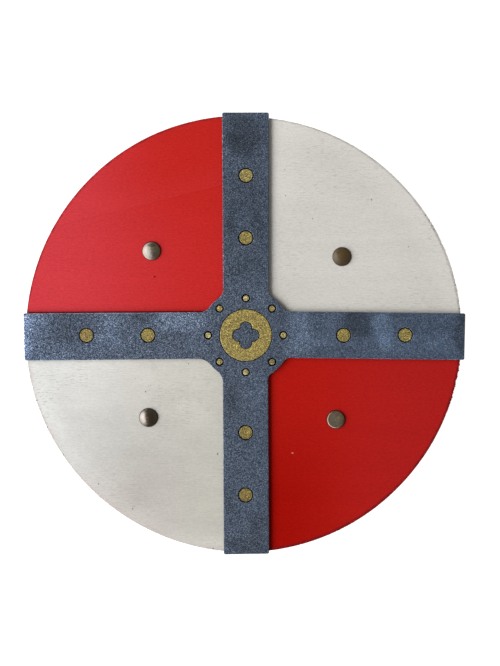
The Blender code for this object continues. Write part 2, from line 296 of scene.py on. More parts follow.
def bevel(width, segments):
    bpy.ops.mesh.bevel(
        offset_type="OFFSET", offset=width, segments=segments, profile=0.5, affect="EDGES",
        clamp_overlap=False,
    )


def tidy_faces(piece, merge=0.02 * MM, flat=math.radians(0.8)):
    """Merges doubles, clears the cuts' spare edges and points all faces outwards."""
    begin(piece)
    bpy.ops.mesh.select_all(action="SELECT")
    bpy.ops.mesh.remove_doubles(threshold=merge)
    bpy.ops.mesh.dissolve_limited(angle_limit=flat, delimit=set())
    bpy.ops.mesh.select_all(action="SELECT")
    bpy.ops.mesh.normals_make_consistent(inside=False)
    end()


def turn_on_lathe(name, centre, steps, segments):
    """A round piece drawn up from a disc: each step is a radius and a height."""
    radius, height = steps[0]
    bpy.ops.object.select_all(action="DESELECT")
    bpy.ops.mesh.primitive_circle_add(
        vertices=segments, radius=radius, fill_type="NGON", location=(centre[0], centre[1], height)
    )
    piece = bpy.context.object
    piece.name = piece.data.name = name
    place_in_mesh(piece)
    begin(piece)
    bpy.ops.mesh.select_mode(type="FACE")
    bpy.ops.mesh.select_all(action="SELECT")
    for (old_radius, old_height), (radius, height) in zip(steps, steps[1:]):
        bpy.ops.mesh.extrude_region_move(TRANSFORM_OT_translate={"value": (0, 0, height - old_height)})
        grow = radius / old_radius
        bpy.ops.transform.resize(value=(grow, grow, 1), center_override=(centre[0], centre[1], height))
    bpy.ops.mesh.select_all(action="SELECT")
    bpy.ops.mesh.normals_make_consistent(inside=False)
    end()
    return piece


def mark_axis(piece, centre, **values):
    """Stores each point's place from the piece's own middle, and plain numbers, for its material."""
    mesh = piece.data
    layer = mesh.attributes.new("from_axis", "FLOAT_VECTOR", "POINT")
    for point, item in zip(mesh.vertices, layer.data):
        item.vector = point.co - Vector(centre)
    for name, value in values.items():
        layer = mesh.attributes.new(name, "FLOAT", "POINT")
        layer.data.foreach_set("value", [value] * len(mesh.vertices))


def dress(piece, materials, choose, angle=math.radians(38)):
    """Gives each face its material and the piece its shading."""
    for material in materials:
        piece.data.materials.append(material)
    for face in piece.data.polygons:
        face.material_index = choose(face)
    only(piece)
    bpy.ops.object.shade_smooth_by_angle(angle=angle)
    step = piece.modifiers.new("flat faces", "WEIGHTED_NORMAL")
    step.keep_sharp = True
    bpy.ops.object.modifier_apply(modifier=step.name)


def wall_is_second(face):
    return 1 if abs(face.normal.z) < 0.25 else 0


# Node recipes


class Signal:
    """A node's output. Arithmetic on it lays out the math nodes that do the same."""

    def __init__(self, recipe, socket):
        self.recipe = recipe
        self.socket = socket

    def work(self, operation, first, second):
        is_vector = self.socket.type in ("VECTOR", "RGBA")
        return (self.recipe.vector if is_vector else self.recipe.sum)(operation, first, second)

    def __add__(self, other):
        return self.work("ADD", self, other)

    def __radd__(self, other):
        return self.work("ADD", other, self)

    def __sub__(self, other):
        return self.work("SUBTRACT", self, other)

    def __rsub__(self, other):
        return self.work("SUBTRACT", other, self)

    def __mul__(self, other):
        return self.work("MULTIPLY", self, other)

    def __truediv__(self, other):
        return self.work("DIVIDE", self, other)

    def __rtruediv__(self, other):
        return self.work("DIVIDE", other, self)


class Recipe:
    """Lays out the nodes of one material or group, in rows."""

    ROW = 10

    def __init__(self, tree):
        self.tree = tree
        self.count = 0

    def place(self, node):
        node.location = (220 * (self.count % self.ROW), -280 * (self.count // self.ROW))
        self.count += 1
        return node

    def feed(self, socket, value):
        if isinstance(value, Signal):
            self.tree.links.new(value.socket, socket)
        elif socket.type == "RGBA" and len(value) == 3:
            socket.default_value = (*value, 1.0)
        else:
            socket.default_value = value

    def add(self, kind, inputs=None, **settings):
        node = self.place(self.tree.nodes.new(kind))
        for name, value in settings.items():
            setattr(node, name, value)
        for name, value in (inputs or {}).items():
            self.feed(node.inputs[name], value)
        return node

    def outputs(self, node):
        return {socket.name: Signal(self, socket) for socket in node.outputs}

    def take(self, kind, output, inputs=None, **settings):
        return Signal(self, self.add(kind, inputs, **settings).outputs[output])

    def sum(self, operation, first, second=0.0, third=0.0):
        return self.take("ShaderNodeMath", 0, {0: first, 1: second, 2: third}, operation=operation)

    def vector(self, operation, first, second=(0, 0, 0)):
        output = "Value" if operation in ("LENGTH", "DISTANCE", "DOT_PRODUCT") else "Vector"
        return self.take("ShaderNodeVectorMath", output, {0: first, 1: second}, operation=operation)

    def spread(self, value, low, high, to_low=0.0, to_high=1.0, soft=True):
        """Carries low to high over into to_low to to_high, with soft ends, and holds it outside."""
        inputs = {"Value": value, "From Min": low, "From Max": high, "To Min": to_low, "To Max": to_high}
        how = "SMOOTHSTEP" if soft else "LINEAR"
        return self.take("ShaderNodeMapRange", "Result", inputs, interpolation_type=how)

    def mix(self, amount, first, second, how="MIX"):
        inputs = {0: amount, 6: first, 7: second}
        return self.take("ShaderNodeMix", 2, inputs, data_type="RGBA", blend_type=how)

    def mix_number(self, amount, first, second):
        return self.take("ShaderNodeMix", 0, {0: amount, 2: first, 3: second}, data_type="FLOAT")

    def shade(self, base, tone):
        """A colour times a number."""
        grey = self.take("ShaderNodeCombineColor", "Color", {"Red": tone, "Green": tone, "Blue": tone})
        return self.mix(1.0, base, grey, "MULTIPLY")

    def noise(self, vector, scale, detail=2.0, roughness=0.5, distortion=0.0, out="Fac"):
        inputs = {
            "Vector": vector, "Scale": scale, "Detail": detail, "Roughness": roughness,
            "Distortion": distortion,
        }
        return self.take("ShaderNodeTexNoise", out, inputs)

    def cells(self, vector, scale, feature="F1"):
        inputs = {"Vector": vector, "Scale": scale}
        return self.outputs(self.add("ShaderNodeTexVoronoi", inputs, feature=feature))

    def stretch(self, vector, scale=(1, 1, 1), shift=(0, 0, 0)):
        return self.take("ShaderNodeMapping", "Vector", {"Vector": vector, "Scale": scale, "Location": shift})

    def use(self, group, **inputs):
        return self.outputs(self.add("ShaderNodeGroup", inputs, node_tree=bpy.data.node_groups[group]))

    def object_place(self):
        return self.take("ShaderNodeTexCoord", "Object")

    def attribute(self, name, out="Fac"):
        return self.take("ShaderNodeAttribute", out, attribute_name=name)

    def axes(self, vector):
        return list(self.outputs(self.add("ShaderNodeSeparateXYZ", {"Vector": vector})).values())


def make_group(name, inputs, outputs, build):
    """A shader node group with named inputs and outputs."""
    group = bpy.data.node_groups.new(name, "ShaderNodeTree")
    for label, default in inputs.items():
        kind = "NodeSocketVector" if isinstance(default, tuple) else "NodeSocketFloat"
        socket = group.interface.new_socket(name=label, in_out="INPUT", socket_type=kind)
        socket.default_value = default
    for label in outputs:
        group.interface.new_socket(name=label, in_out="OUTPUT", socket_type="NodeSocketFloat")
    recipe = Recipe(group)
    given = recipe.outputs(recipe.place(group.nodes.new("NodeGroupInput")))
    results = build(recipe, given)
    leave = recipe.place(group.nodes.new("NodeGroupOutput"))
    for label, result in zip(outputs, results):
        recipe.feed(leave.inputs[label], result)


def build_wood_grain(r, given):
    """Fine streaks and broad figure that run along X."""
    fineness = given["Fineness"]
    narrow = given["Vector"] * (110, 900, 900)
    wide = given["Vector"] * (9, 75, 75)
    streaks = r.noise(narrow, fineness, 3.0, 0.6)
    pores = r.noise(r.stretch(narrow, (0.55, 1.9, 1.9), shift=(4, 7, 2)), fineness)
    figure = r.noise(wide, 1.0, 2.0, 0.5, 0.6)
    both = streaks * 0.65 + pores * 0.35
    return r.spread(both, 0.3, 0.7, soft=False), figure


def build_speckle(r, given):
    """Grains of sprayed metal paint: a random tone for each grain, and how high it stands."""
    per_metre = 1.0 / given["Size"]
    finer = per_metre * 1.7
    grain_tone = r.axes(r.cells(given["Vector"], per_metre)["Color"])[0]
    dust_tone = r.axes(r.cells(given["Vector"], finer)["Color"])[1]
    wavy = r.noise(given["Vector"], per_metre, 2.0, 0.65)
    soft = r.noise(given["Vector"], per_metre * 0.3)
    tone = 0.0
    for part, share_of_tone in ((grain_tone, 0.95), (dust_tone, 0.55), (wavy, 0.20), (soft, 0.06)):
        centred = part - 0.5
        tone = centred * share_of_tone + tone
    tone = r.sum("POWER", 2.0, tone * given["Contrast"])
    height = wavy * 0.7 + grain_tone * 0.3
    return tone, height


def build_soft_patch(r, given):
    """1 in the middle of a wavy-edged patch, falling to 0 at its edge."""
    wobble = r.noise(given["Vector"], 38.0, out="Color")
    wobble = (wobble - (0.5, 0.5, 0.5)) * (0.014, 0.014, 0.0)
    place = given["Vector"] * (1, 1, 0) + wobble
    away = (place - given["Middle"]) / given["Reach"]
    return (r.spread(r.vector("LENGTH", away), given["Core"], 1.0, 1.0, 0.0),)


def build_round_rim(r, given):
    """0 inside, rising to 1 at a round rim."""
    away = (given["Vector"] - given["Middle"]) * (1, 1, 0)
    reach = r.vector("LENGTH", away)
    return (r.spread(reach, given["Radius"] - given["Width"], given["Radius"]),)


def build_dust(r, given):
    """Sparse small specks."""
    cells = r.cells(given["Vector"], given["Density"])
    chosen = r.sum("GREATER_THAN", r.axes(cells["Color"])[1], given["Rarity"])
    near = r.spread(cells["Distance"], given["Speck"], 0.0)
    return (chosen * near,)


def make_groups():
    place = {"Vector": (0.0, 0.0, 0.0)}
    patch = {**place, "Middle": (0.0, 0.0, 0.0), "Reach": (0.02, 0.02, 1.0), "Core": 0.0}
    rim = {**place, "Middle": (0.0, 0.0, 0.0), "Radius": 0.01, "Width": 0.001}
    dust = {**place, "Density": 90.0, "Rarity": 0.8, "Speck": 0.05}
    make_group("Wood grain", {**place, "Fineness": 1.0}, ("Streaks", "Figure"), build_wood_grain)
    make_group("Speckle", {**place, "Size": MM, "Contrast": 1.0}, ("Tone", "Height"), build_speckle)
    make_group("Soft patch", patch, ("Mask",), build_soft_patch)
    make_group("Round rim", rim, ("Mask",), build_round_rim)
    make_group("Dust", dust, ("Mask",), build_dust)


def new_material(name):
    """A material with an empty recipe, and its surface shader."""
    material = bpy.data.materials.new(name)
    material.use_nodes = True
    tree = material.node_tree
    tree.nodes.clear()
    r = Recipe(tree)
    surface = r.add("ShaderNodeBsdfPrincipled")
    output = r.add("ShaderNodeOutputMaterial")
    tree.links.new(surface.outputs["BSDF"], output.inputs["Surface"])
    return material, r, surface


def finish(r, surface, base, rough, specular, height, depth, strength=1.0):
    """Gives a surface its colour, roughness, gloss and relief."""
    bump = r.take("ShaderNodeBump", "Normal", {"Height": height, "Distance": depth, "Strength": strength})
    inputs = {"Base Color": base, "Roughness": rough, "Specular IOR Level": specular, "Normal": bump}
    for name, value in inputs.items():
        r.feed(surface.inputs[name], value)


def scaled(tint, amount):
    return tuple(channel * amount for channel in tint)


def lighten(r, base, amount, mask):
    """Multiplies a colour by 1 + amount where the mask is 1."""
    return r.shade(base, mask * amount + 1.0)


def soft_patch(r, place, x, y, wide, high, core=0.0):
    """A mask for one patch, with its middle and half sizes in millimetres, and how much of it is full."""
    middle, reach = (x * MM, y * MM, 0), (wide * MM, high * MM, 1.0)
    return r.use("Soft patch", Vector=place, Middle=middle, Reach=reach, Core=core)["Mask"]


def add_patches(r, place, base, patches):
    """Lightens a colour in soft patches, each a row for soft_patch with its amount at the end."""
    for *patch, amount in patches:
        base = lighten(r, base, amount, soft_patch(r, place, *patch))
    return base


def off_place(r, place, x, y):
    """How far each point lies from an upright axis."""
    return r.vector("DISTANCE", place * (1, 1, 0), (x, y, 0))


# Paint and wood

# Dark specks in each paint: x, y and radius in millimetres
WHITE_SPECKS = (
    (36.0, 120.1, 0.40), (111.0, 116.6, 0.50), (59.5, 100.1, 0.38), (143.3, 75.6, 0.38), (35.1, 142.8, 0.34),
    (-86.1, -50.9, 0.50), (-127.2, -131.1, 0.50), (-97.5, -152.9, 0.50), (-23.3, -104.6, 0.50),
    (-23.3, -105.7, 0.42), (-48.7, -26.5, 0.42), (-94.9, -39.5, 0.26), (-81.8, -45.6, 0.24),
)
RED_SPECKS = ((-78.3, 49.5, 0.74),)
# Bearings of the scorched burrs on the rim, in degrees
RIM_BURNS = (40.5, 33.0, 31.2, 29.8, 28.6, 24.4, 13.6, 12.9, 8.4, 6.6, 198.0, 205.5, 214.0, 262.0)
# Lower edge of the raised strip in the red: its slope, and its height above the hub's middle
STRIP_SLOPE = 0.246
STRIP_HEIGHT = 135.8 * MM
# Soft patches in the white, partly painted light and shade and partly stains, the bright one at the left
# being painted light: x, y, half width, half height (mm), share that is full, amount
WHITE_PATCHES = (
    (-185, -25, 120, 75, 0.1, 0.20), (15, 165, 70, 110, 0.0, 0.13), (-55, -135, 110, 95, 0.2, -0.11),
    (110, 90, 190, 170, 0.0, 0.15), (-90, -24, 130, 36, 0.2, 0.09), (-46, -70, 26, 20, 0.2, 0.08),
    (-118, -122, 70, 66, 0.1, -0.07),
)


def spots(r, place, places):
    """A mask with a small dot at each place, in millimetres."""
    total = 0.0
    for x, y, radius in places:
        gap = off_place(r, place, x * MM, y * MM)
        total = r.sum("MAXIMUM", r.spread(gap, radius * MM * 1.5, radius * MM * 0.7), total)
    return total


def rim_burns():
    """Places of the small scorched burrs on the rim, in millimetres."""
    reach = size_of("board").x / 2 / MM - 0.5
    turns = [math.radians(bearing) for bearing in RIM_BURNS]
    middle = BOARD_MIDDLE / MM
    return [(middle.x + reach * math.cos(turn), middle.y + reach * math.sin(turn), 0.5) for turn in turns]


def rivet_contact_shade(r, place):
    """A mask for the painted shade in a dark line round each rivet's head, a little wider towards the upper
    right, away from the light.
    """
    total = 0.0
    for corner in CORNERS:
        node = f"rivet_{corner}"
        middle = middle_of(node) + Vector((0.04, 0.10, 0)) * MM
        head = size_of(node).x / 2
        gap = off_place(r, place, middle.x, middle.y)
        total = r.sum("MAXIMUM", r.spread(gap, head + 0.30 * MM, head - 0.10 * MM), total)
    return total


def glue_and_groove_shade(r, x, y):
    """A mask for the glued ground under the cross, painted dark both as glue and as shade at the bottom of
    the grooves round the inlays, the only place where it shows.
    """
    nearer = r.sum("MINIMUM", r.sum("ABSOLUTE", x), r.sum("ABSOLUTE", y))
    in_arms = r.sum("LESS_THAN", nearer, 18 * MM)
    reach = r.sum("SQRT", r.sum("POWER", x, 2.0) + r.sum("POWER", y, 2.0))
    return r.sum("MAXIMUM", in_arms, r.sum("LESS_THAN", reach, 38 * MM))


def red_paint(r, place, x, y, left, settings):
    """The red quarters' paint, with painted light towards the left, a raised strip, a speck and a nick."""
    # Painted light: the red grows paler and pinker towards the left, where the light comes from
    left_sheen = r.spread(x, -25 * MM, -180 * MM)
    red = r.mix(left, tuple(settings.red), tuple(settings.faded_red))
    red = r.mix(left_sheen * left, red, (0.615, 0.0455, 0.0565))
    outward = r.spread(x, 30 * MM, 155 * MM)
    red = r.mix(outward * 0.9, red, (0.43, 0.0142, 0.013))
    upper = r.spread(y, 60 * MM, 150 * MM) * (left * r.spread(x, -150 * MM, -60 * MM))
    red = r.mix(upper * 0.7, red, (0.545, 0.018, 0.0125))
    lower = r.spread(y, -50 * MM, -150 * MM) * r.spread(x, 110 * MM, 20 * MM)
    red = r.mix(lower, red, (0.355, 0.0042, 0.0019))
    red = lighten(r, red, 0.06, soft_patch(r, place, 85, -45, 100, 60))

    above = y - x * STRIP_SLOPE - STRIP_HEIGHT
    above = above + (r.noise(place, 25.0) - 0.5) * (4 * MM)
    step = r.spread(above, -0.6 * MM, 1.2 * MM) * r.spread(above, 28 * MM, 2 * MM)
    red = r.mix(step * 0.1, red, (0.62, 0.06, 0.065))
    seam = r.spread(above, -1.0 * MM, -0.2 * MM) * r.spread(above, 0.6 * MM, -0.2 * MM)
    red = lighten(r, red, -0.06, seam)
    red = r.mix(spots(r, place, RED_SPECKS) * 0.85, red, (0.1, 0.004, 0.004))
    nick = (place - (42.0 * MM, -104.3 * MM, 0)) * (0.55, 1.2, 0)
    return r.mix(r.spread(r.vector("LENGTH", nick), 0.75 * MM, 0.25 * MM), red, (0.62, 0.30, 0.25))


def white_paint(r, place, x, left, from_rim, settings):
    """The white quarters' paint, with clouds, specks, fine dashes, a scratch, a blush at the rim and painted
    light towards the left.
    """
    white = add_patches(r, place, tuple(settings.white), WHITE_PATCHES)
    # Painted light: the white grows lighter towards the left, where the light comes from
    white = r.mix(r.spread(x, -70 * MM, -190 * MM, 0.0, 0.7), white, (0.690, 0.697, 0.690))
    warm = soft_patch(r, place, HUB.x / MM, HUB.y / MM - 50, 120, 140)
    white = r.mix(warm * 0.35, white, (0.59, 0.56, 0.47))
    white = r.mix(spots(r, place, WHITE_SPECKS) * 0.9, white, (0.07, 0.055, 0.045))
    dashes = r.spread(r.noise(r.stretch(place, (170, 1100, 1)), 1.0), 0.54, 0.68)
    patchy = r.spread(r.noise(place, 22.0), 0.42, 0.62, 0.25, 1.0)
    patchy = patchy * r.spread(x, -100 * MM, -155 * MM, 1.0, 1.9)
    white = lighten(r, white, -0.17, dashes * patchy)
    stained = r.noise(r.stretch(place, (30, 45, 1)), 1.0, 4.0, 0.65) - 0.5
    white = lighten(r, white, 0.22, stained * r.spread(x, 0.0, -20 * MM, 0.25, 1.0))
    scratch = (place - (-72.5 * MM, -113.5 * MM, 0)) * (0.055, 1.0, 0)
    scratch = r.spread(r.vector("LENGTH", scratch), 0.55 * MM, 0.2 * MM)
    white = r.mix(scratch * 0.22, white, (0.3, 0.26, 0.22))
    rim = r.use(
        "Round rim", Vector=place, Middle=tuple(BOARD_MIDDLE), Radius=settings.diameter / 2, Width=6 * MM
    )["Mask"]
    blush = rim * r.spread(r.noise(place, 40.0, 3.0), 0.35, 0.65) * left
    white = r.mix(blush * 0.38, white, (0.56, 0.45, 0.43))
    pinkish = soft_patch(r, place, -100, -150, 75, 65)
    white = r.mix(pinkish * 0.9, white, r.mix(1.0, white, (0.985, 0.945, 0.94), "MULTIPLY"))
    yellowish = soft_patch(r, place, -30, -155, 40, 60)
    white = r.mix(yellowish, white, r.mix(1.0, white, (1.020, 1.028, 0.985), "MULTIPLY"))
    return lighten(r, white, 0.08, r.spread(from_rim, 26 * MM, 2 * MM))


def rim_shade_line(r, place, x, in_white, from_rim, paint):
    """Paints a fine, broken dark line of painted shade along the rim, paler towards the left, where the light
    comes from.
    """
    fine_rim = r.spread(from_rim, 2.5 * MM, 0.9 * MM)
    broken = r.spread(r.noise(place, 260.0), 0.42, 0.58, r.spread(x, -60 * MM, 60 * MM, 0.3, 0.6), 1.0)
    rightward = r.spread(x, -60 * MM, 60 * MM)
    on_white = r.mix(rightward, (0.58, 0.53, 0.52), (0.40, 0.38, 0.37))
    on_red = r.mix(rightward, (0.27, 0.018, 0.022), (0.12, 0.008, 0.011))
    return r.mix(fine_rim * broken * 0.75, paint, r.mix(in_white, on_red, on_white))


def make_paint(settings):
    """Thin matt paint in quarters over the wood's grain, with painted shade along the rim, beside the left
    arm, round the rivets and in the grooves.
    """
    material, r, surface = new_material("quartered_paint")
    place = r.object_place()
    x, y, _ = r.axes(place - (HUB.x, HUB.y, 0))
    grain = r.use("Wood grain", Vector=place, Fineness=1.0)
    left = r.sum("LESS_THAN", x, 0.0)
    in_white = r.sum("GREATER_THAN", x * y, 0.0)
    off_centre = (place - tuple(BOARD_MIDDLE)) * (1, 1, 0)
    from_rim = settings.diameter / 2 - r.vector("LENGTH", off_centre)

    red = red_paint(r, place, x, y, left, settings)
    paint = r.mix(in_white, red, white_paint(r, place, x, left, from_rim, settings))
    tone = (grain["Streaks"] - 0.5) * 0.11
    fine = r.noise(place, 900.0, 2.0, 0.6) + r.noise(r.stretch(place, (330, 900, 1)), 1.0, 2.0, 0.6)
    tone = tone + (fine - 1.0) * r.mix_number(in_white, 0.46, 0.29)
    tone = tone + (grain["Figure"] - 0.5) * 0.1
    paint = r.shade(paint, tone + 1.0)

    # Painted shade along the rim
    paint = rim_shade_line(r, place, x, in_white, from_rim, paint)
    paint = r.mix(spots(r, place, rim_burns()) * 0.85, paint, (0.045, 0.035, 0.035))
    # Painted shade round each rivet's head
    paint = r.mix(rivet_contact_shade(r, place) * 0.8, paint, (0.03, 0.012, 0.01))
    # Painted shade: a dark band on the paint along the upper edge of the left arm, where the arm's shadow
    # falls
    arm_edge = ARM_HALF - r.sum("ABSOLUTE", x) * ARM_TAPER
    arm_foot_shade = r.spread(y - arm_edge, 1.7 * MM, 0.7 * MM) * left
    paint = lighten(r, paint, -0.7, arm_foot_shade * r.sum("GREATER_THAN", y, 0.0))
    # Glue and painted shade under the cross, seen in the grooves
    paint = r.mix(glue_and_groove_shade(r, x, y), paint, (0.020, 0.014, 0.012))
    rough = r.spread(grain["Streaks"], 0.0, 1.0, 0.62, 0.74, soft=False)
    finish(r, surface, paint, rough, 0.02, grain["Streaks"], 0.07 * MM)
    return material


def make_ply_edge(settings):
    """The five plies at the rim, toasted by the cut."""
    material, r, surface = new_material("ply_edge")
    place = r.object_place()
    z = r.axes(place)[2]
    ply = (z - BOARD_LOW.z) / (settings.thickness / PLIES)
    odd = r.sum("PINGPONG", ply, 1.0)
    band = r.sum("GREATER_THAN", r.sum("FRACT", ply * 0.5), 0.5)
    lines = r.noise(r.stretch(place, (60, 60, 2600)), 1.0, 3.0, 0.6)
    ends = r.noise(r.stretch(place, (900, 900, 900)), 1.0, 2.0, 0.6)
    light = r.mix(lines, (0.52, 0.36, 0.20), (0.36, 0.22, 0.11))
    dark = r.mix(ends, (0.24, 0.135, 0.065), (0.36, 0.22, 0.12))
    wood = r.mix(band, light, dark)
    glue = r.spread(odd, 0.10, 0.0) + r.spread(odd, 0.9, 1.0)
    wood = r.mix(glue * 0.6, wood, (0.12, 0.065, 0.035))
    toast = r.spread(r.noise(place, 30.0, 3.0), 0.4, 0.7)
    wood = r.mix(toast * 0.4, wood, (0.16, 0.085, 0.045))
    finish(r, surface, wood, 0.78, 0.25, lines, 0.10 * MM)
    return material


def make_veneer(settings):
    """Bare veneer on the back, with its figure running across."""
    material, r, surface = new_material("bare_veneer")
    place = r.object_place()
    grain = r.use("Wood grain", Vector=place, Fineness=0.8)
    flow = r.noise(r.stretch(place, (3.2, 9.0, 1.0), shift=(0.4, 1.3, 0)), 1.0, out="Color")
    bent = place * (4.0, 30.0, 1.0) + flow * (0, 3.2, 0)
    rings = r.take("ShaderNodeTexWave", "Fac", {
        "Vector": bent, "Scale": 0.55, "Distortion": 1.6, "Detail": 2.0, "Detail Scale": 1.4,
    }, wave_type="BANDS", bands_direction="Y", wave_profile="SAW")
    tint = tuple(settings.veneer)
    wood = r.mix(r.spread(rings, 0.2, 1.0, 0.0, 0.55), tint, scaled(tint, 0.62))
    wood = lighten(r, wood, 0.22, grain["Streaks"] - 0.5)
    wood = lighten(r, wood, 0.3, grain["Figure"] - 0.5)
    pores = r.spread(r.noise(r.stretch(place, (45, 1500, 1)), 1.0), 0.6, 0.72)
    wood = r.mix(pores * 0.45, wood, scaled(tint, 0.42))
    dust = r.use("Dust", Vector=place, Density=70.0, Rarity=0.9, Speck=0.05)["Mask"]
    wood = r.mix(dust * 0.6, wood, (0.12, 0.07, 0.04))
    rough = r.spread(grain["Streaks"], 0.0, 1.0, 0.70, 0.84, soft=False)
    finish(r, surface, wood, rough, 0.25, grain["Streaks"] - pores, 0.09 * MM)
    return material


# Sprayed sheet

# Clouds in the spray, the bright ones at the left end partly painted light: x, y, half width, half height
# (mm), share that is full, amount
CLOUDS = (
    (-193, 0, 13, 40, 0.3, 0.8), (-184, 13, 13, 13, 0.2, 0.4), (-190, -14, 16, 14, 0.2, 0.4),
    (-149, 11, 25, 22, 0.75, -0.3), (-160, 6, 26, 24, 0.1, -0.2), (-150, -13, 40, 13, 0.1, -0.2),
    (-116, 5, 9, 22, 0.4, 0.3), (-90, 15, 13, 11, 0.1, -0.4), (-64, 12, 19, 14, 0.3, 0.7),
    (-46, 9, 16, 17, 0.2, 0.6), (-42, -12, 16, 12, 0.1, 0.2), (48, 8, 20, 20, 0.2, 0.7),
    (50, -10, 24, 14, 0.2, 0.7), (74, 2, 16, 28, 0.2, 0.2), (100, 9, 13, 18, 0.6, -0.4),
    (122, 4, 11, 28, 0.4, 0.6), (168, -8, 16, 18, 0.1, 0.3), (188, 0, 7, 36, 0.3, -0.4),
    (0, 172, 24, 26, 0.3, -0.4), (-6, 165, 13, 15, 0.2, -0.3), (0, 122, 27, 34, 0.3, -0.2),
    (-12, 92, 13, 26, 0.1, -0.4), (12, 92, 13, 26, 0.1, -0.3), (0, 62, 26, 20, 0.2, -0.2),
    (13, -50, 12, 16, 0.2, 0.2), (-12, -60, 12, 26, 0.2, -0.3), (-12, -150, 12, 30, 0.2, -0.2),
    (12, -168, 12, 18, 0.2, -0.3), (0, -184, 26, 10, 0.3, -0.3), (118, -11, 72, 13, 0.5, 0.2),
    (-12, 188, 13, 15, 0.2, -0.2), (14, 36, 11, 12, 0.1, 0.2), (-36, 13, 13, 11, 0.2, 0.2),
)


def make_gunmetal(settings):
    """Speckled blue-grey spray, with soft clouds where it went on thicker or thinner, painted light at the
    left end and painted highlights on the rounded edges.
    """
    material, r, surface = new_material("gunmetal_spray")
    place = r.object_place()
    x, y, _ = r.axes(place)
    rightward = r.spread(x, 30 * MM, 110 * MM)
    coarseness = r.spread(x, 60 * MM, -150 * MM, 3.1, 4.3) - rightward * 0.8
    speckle = r.use("Speckle", Vector=place, Size=0.50 * MM, Contrast=coarseness)
    tint = tuple(settings.gunmetal)
    hue = r.noise(place, 620.0, 1.0, out="Color")
    base = tint + (hue - (0.5, 0.5, 0.5)) * (0.035, 0.02, 0.045)
    # Painted light: lighter and bluer towards the left end, where the light comes from
    base = r.mix(r.spread(x, -40 * MM, -190 * MM), base, (0.0480, 0.0740, 0.1260))
    base = add_patches(r, place, base, CLOUDS)
    drift = r.noise(place, 45.0, 3.0, 0.55)
    base = lighten(r, base, 0.55, drift - 0.5)
    blotches = (r.noise(place, 330.0) - 0.5) * rightward
    base = lighten(r, base, 0.9, blotches)
    base = lighten(r, base, 0.18, r.spread(x, 95 * MM, 125 * MM))
    base = r.shade(base, speckle["Tone"])
    faded = r.spread(speckle["Tone"], 0.8, 2.8, 1.20, 0.66)
    base = r.take("ShaderNodeHueSaturation", "Color", {"Saturation": faded, "Color": base})
    bright = r.use("Dust", Vector=place, Density=1250.0, Rarity=0.82, Speck=0.55)["Mask"]
    bright = bright * r.spread(x, 90 * MM, -150 * MM, 0.28, 0.66)
    base = r.mix(bright, base, (0.390, 0.450, 0.540))
    frayed = spots(r, place, ((CROSS_LOW.x / MM + 1.0, HUB.y / MM + 18.8, 1.5),))
    # Painted highlight on the rounded edges, broken by noise
    facing = r.axes(r.take("ShaderNodeNewGeometry", "Normal"))[2]
    worn = r.spread(facing, 0.99, 0.85) * r.spread(r.noise(place, 300.0), 0.35, 0.6)
    base = lighten(r, base, 0.9, worn)
    # A pale line along the upper edge of the left arm, where the edge is bare, and along the left end, partly
    # painted highlight where it faces the light
    arm_edge = y + r.sum("ABSOLUTE", x) * ARM_TAPER
    off_edge = r.sum("ABSOLUTE", arm_edge - (HUB.y + 19.75 * MM))
    bare_and_lit_edge = r.spread(off_edge, 0.65 * MM, 0.3 * MM) * r.spread(x, -48 * MM, -60 * MM)
    off_end = r.spread(x - CROSS_LOW.x, 1.1 * MM, 0.5 * MM)
    bare_and_lit_edge = r.sum("MAXIMUM", bare_and_lit_edge, off_end) * r.spread(r.noise(place, 420.0), 0.3, 0.6)
    base = r.mix(bare_and_lit_edge * 0.65, base, (0.33, 0.32, 0.4))
    base = r.mix(frayed * 0.85, base, (0.02, 0.022, 0.026))
    rough = r.spread(speckle["Tone"], 0.5, 1.5, 0.60, 0.44, soft=False)
    finish(r, surface, base, rough, 0.35, speckle["Height"], 0.16 * MM)
    return material


def make_gold(settings):
    """Fine-grained gold spray, a little darker at each inlay's rim, with a painted highlight on the rim's
    side towards the light.
    """
    material, r, surface = new_material("gold_spray")
    place = r.object_place()
    speckle = r.use("Speckle", Vector=place, Size=0.52 * MM, Contrast=3.1)
    tint = tuple(settings.gold)
    hue = r.noise(place, 1100.0, 1.0)
    base = r.mix(r.spread(hue, 0.42, 0.62), scaled(tint, 0.95), (0.300, 0.238, 0.070))
    base = r.mix(r.attribute("pale"), base, (0.370, 0.325, 0.160))
    orange = r.attribute("orange") * r.spread(r.noise(place, 420.0), 0.4, 0.6)
    base = r.mix(orange, base, (0.34, 0.16, 0.05))
    base = r.shade(base, speckle["Tone"])
    base = r.shade(base, r.attribute("shade"))
    soot = r.spread(r.noise(place, 700.0, 2.0, 0.6), 0.60, 0.72)
    base = r.mix(soot * 0.4, base, (0.05, 0.042, 0.025))
    bright = r.use("Dust", Vector=place, Density=900.0, Rarity=0.88, Speck=0.45)["Mask"]
    base = r.mix(bright * 0.5, base, (0.62, 0.55, 0.3))
    # Darker at each inlay's rim, with a painted highlight on the rim's side towards the light
    local = r.attribute("from_axis", "Vector")
    rim = r.use("Round rim", Vector=local, Radius=r.attribute("reach"), Width=0.5 * MM)["Mask"]
    toward = r.vector("NORMALIZE", local * (1, 1, 0))
    side = r.vector("DOT_PRODUCT", toward, (-0.9, -0.44, 0))
    pale = r.spread(side, 0.1, 0.7) * r.attribute("pale_rim")
    base = r.mix(rim * 0.55, base, r.mix(pale, (0.055, 0.05, 0.035), (0.62, 0.56, 0.34)))
    surface.inputs["Metallic"].default_value = 0.15
    rough = r.spread(speckle["Tone"], 0.5, 1.5, 0.62, 0.42, soft=False)
    finish(r, surface, base, rough, 0.4, speckle["Height"], 0.13 * MM)
    return material


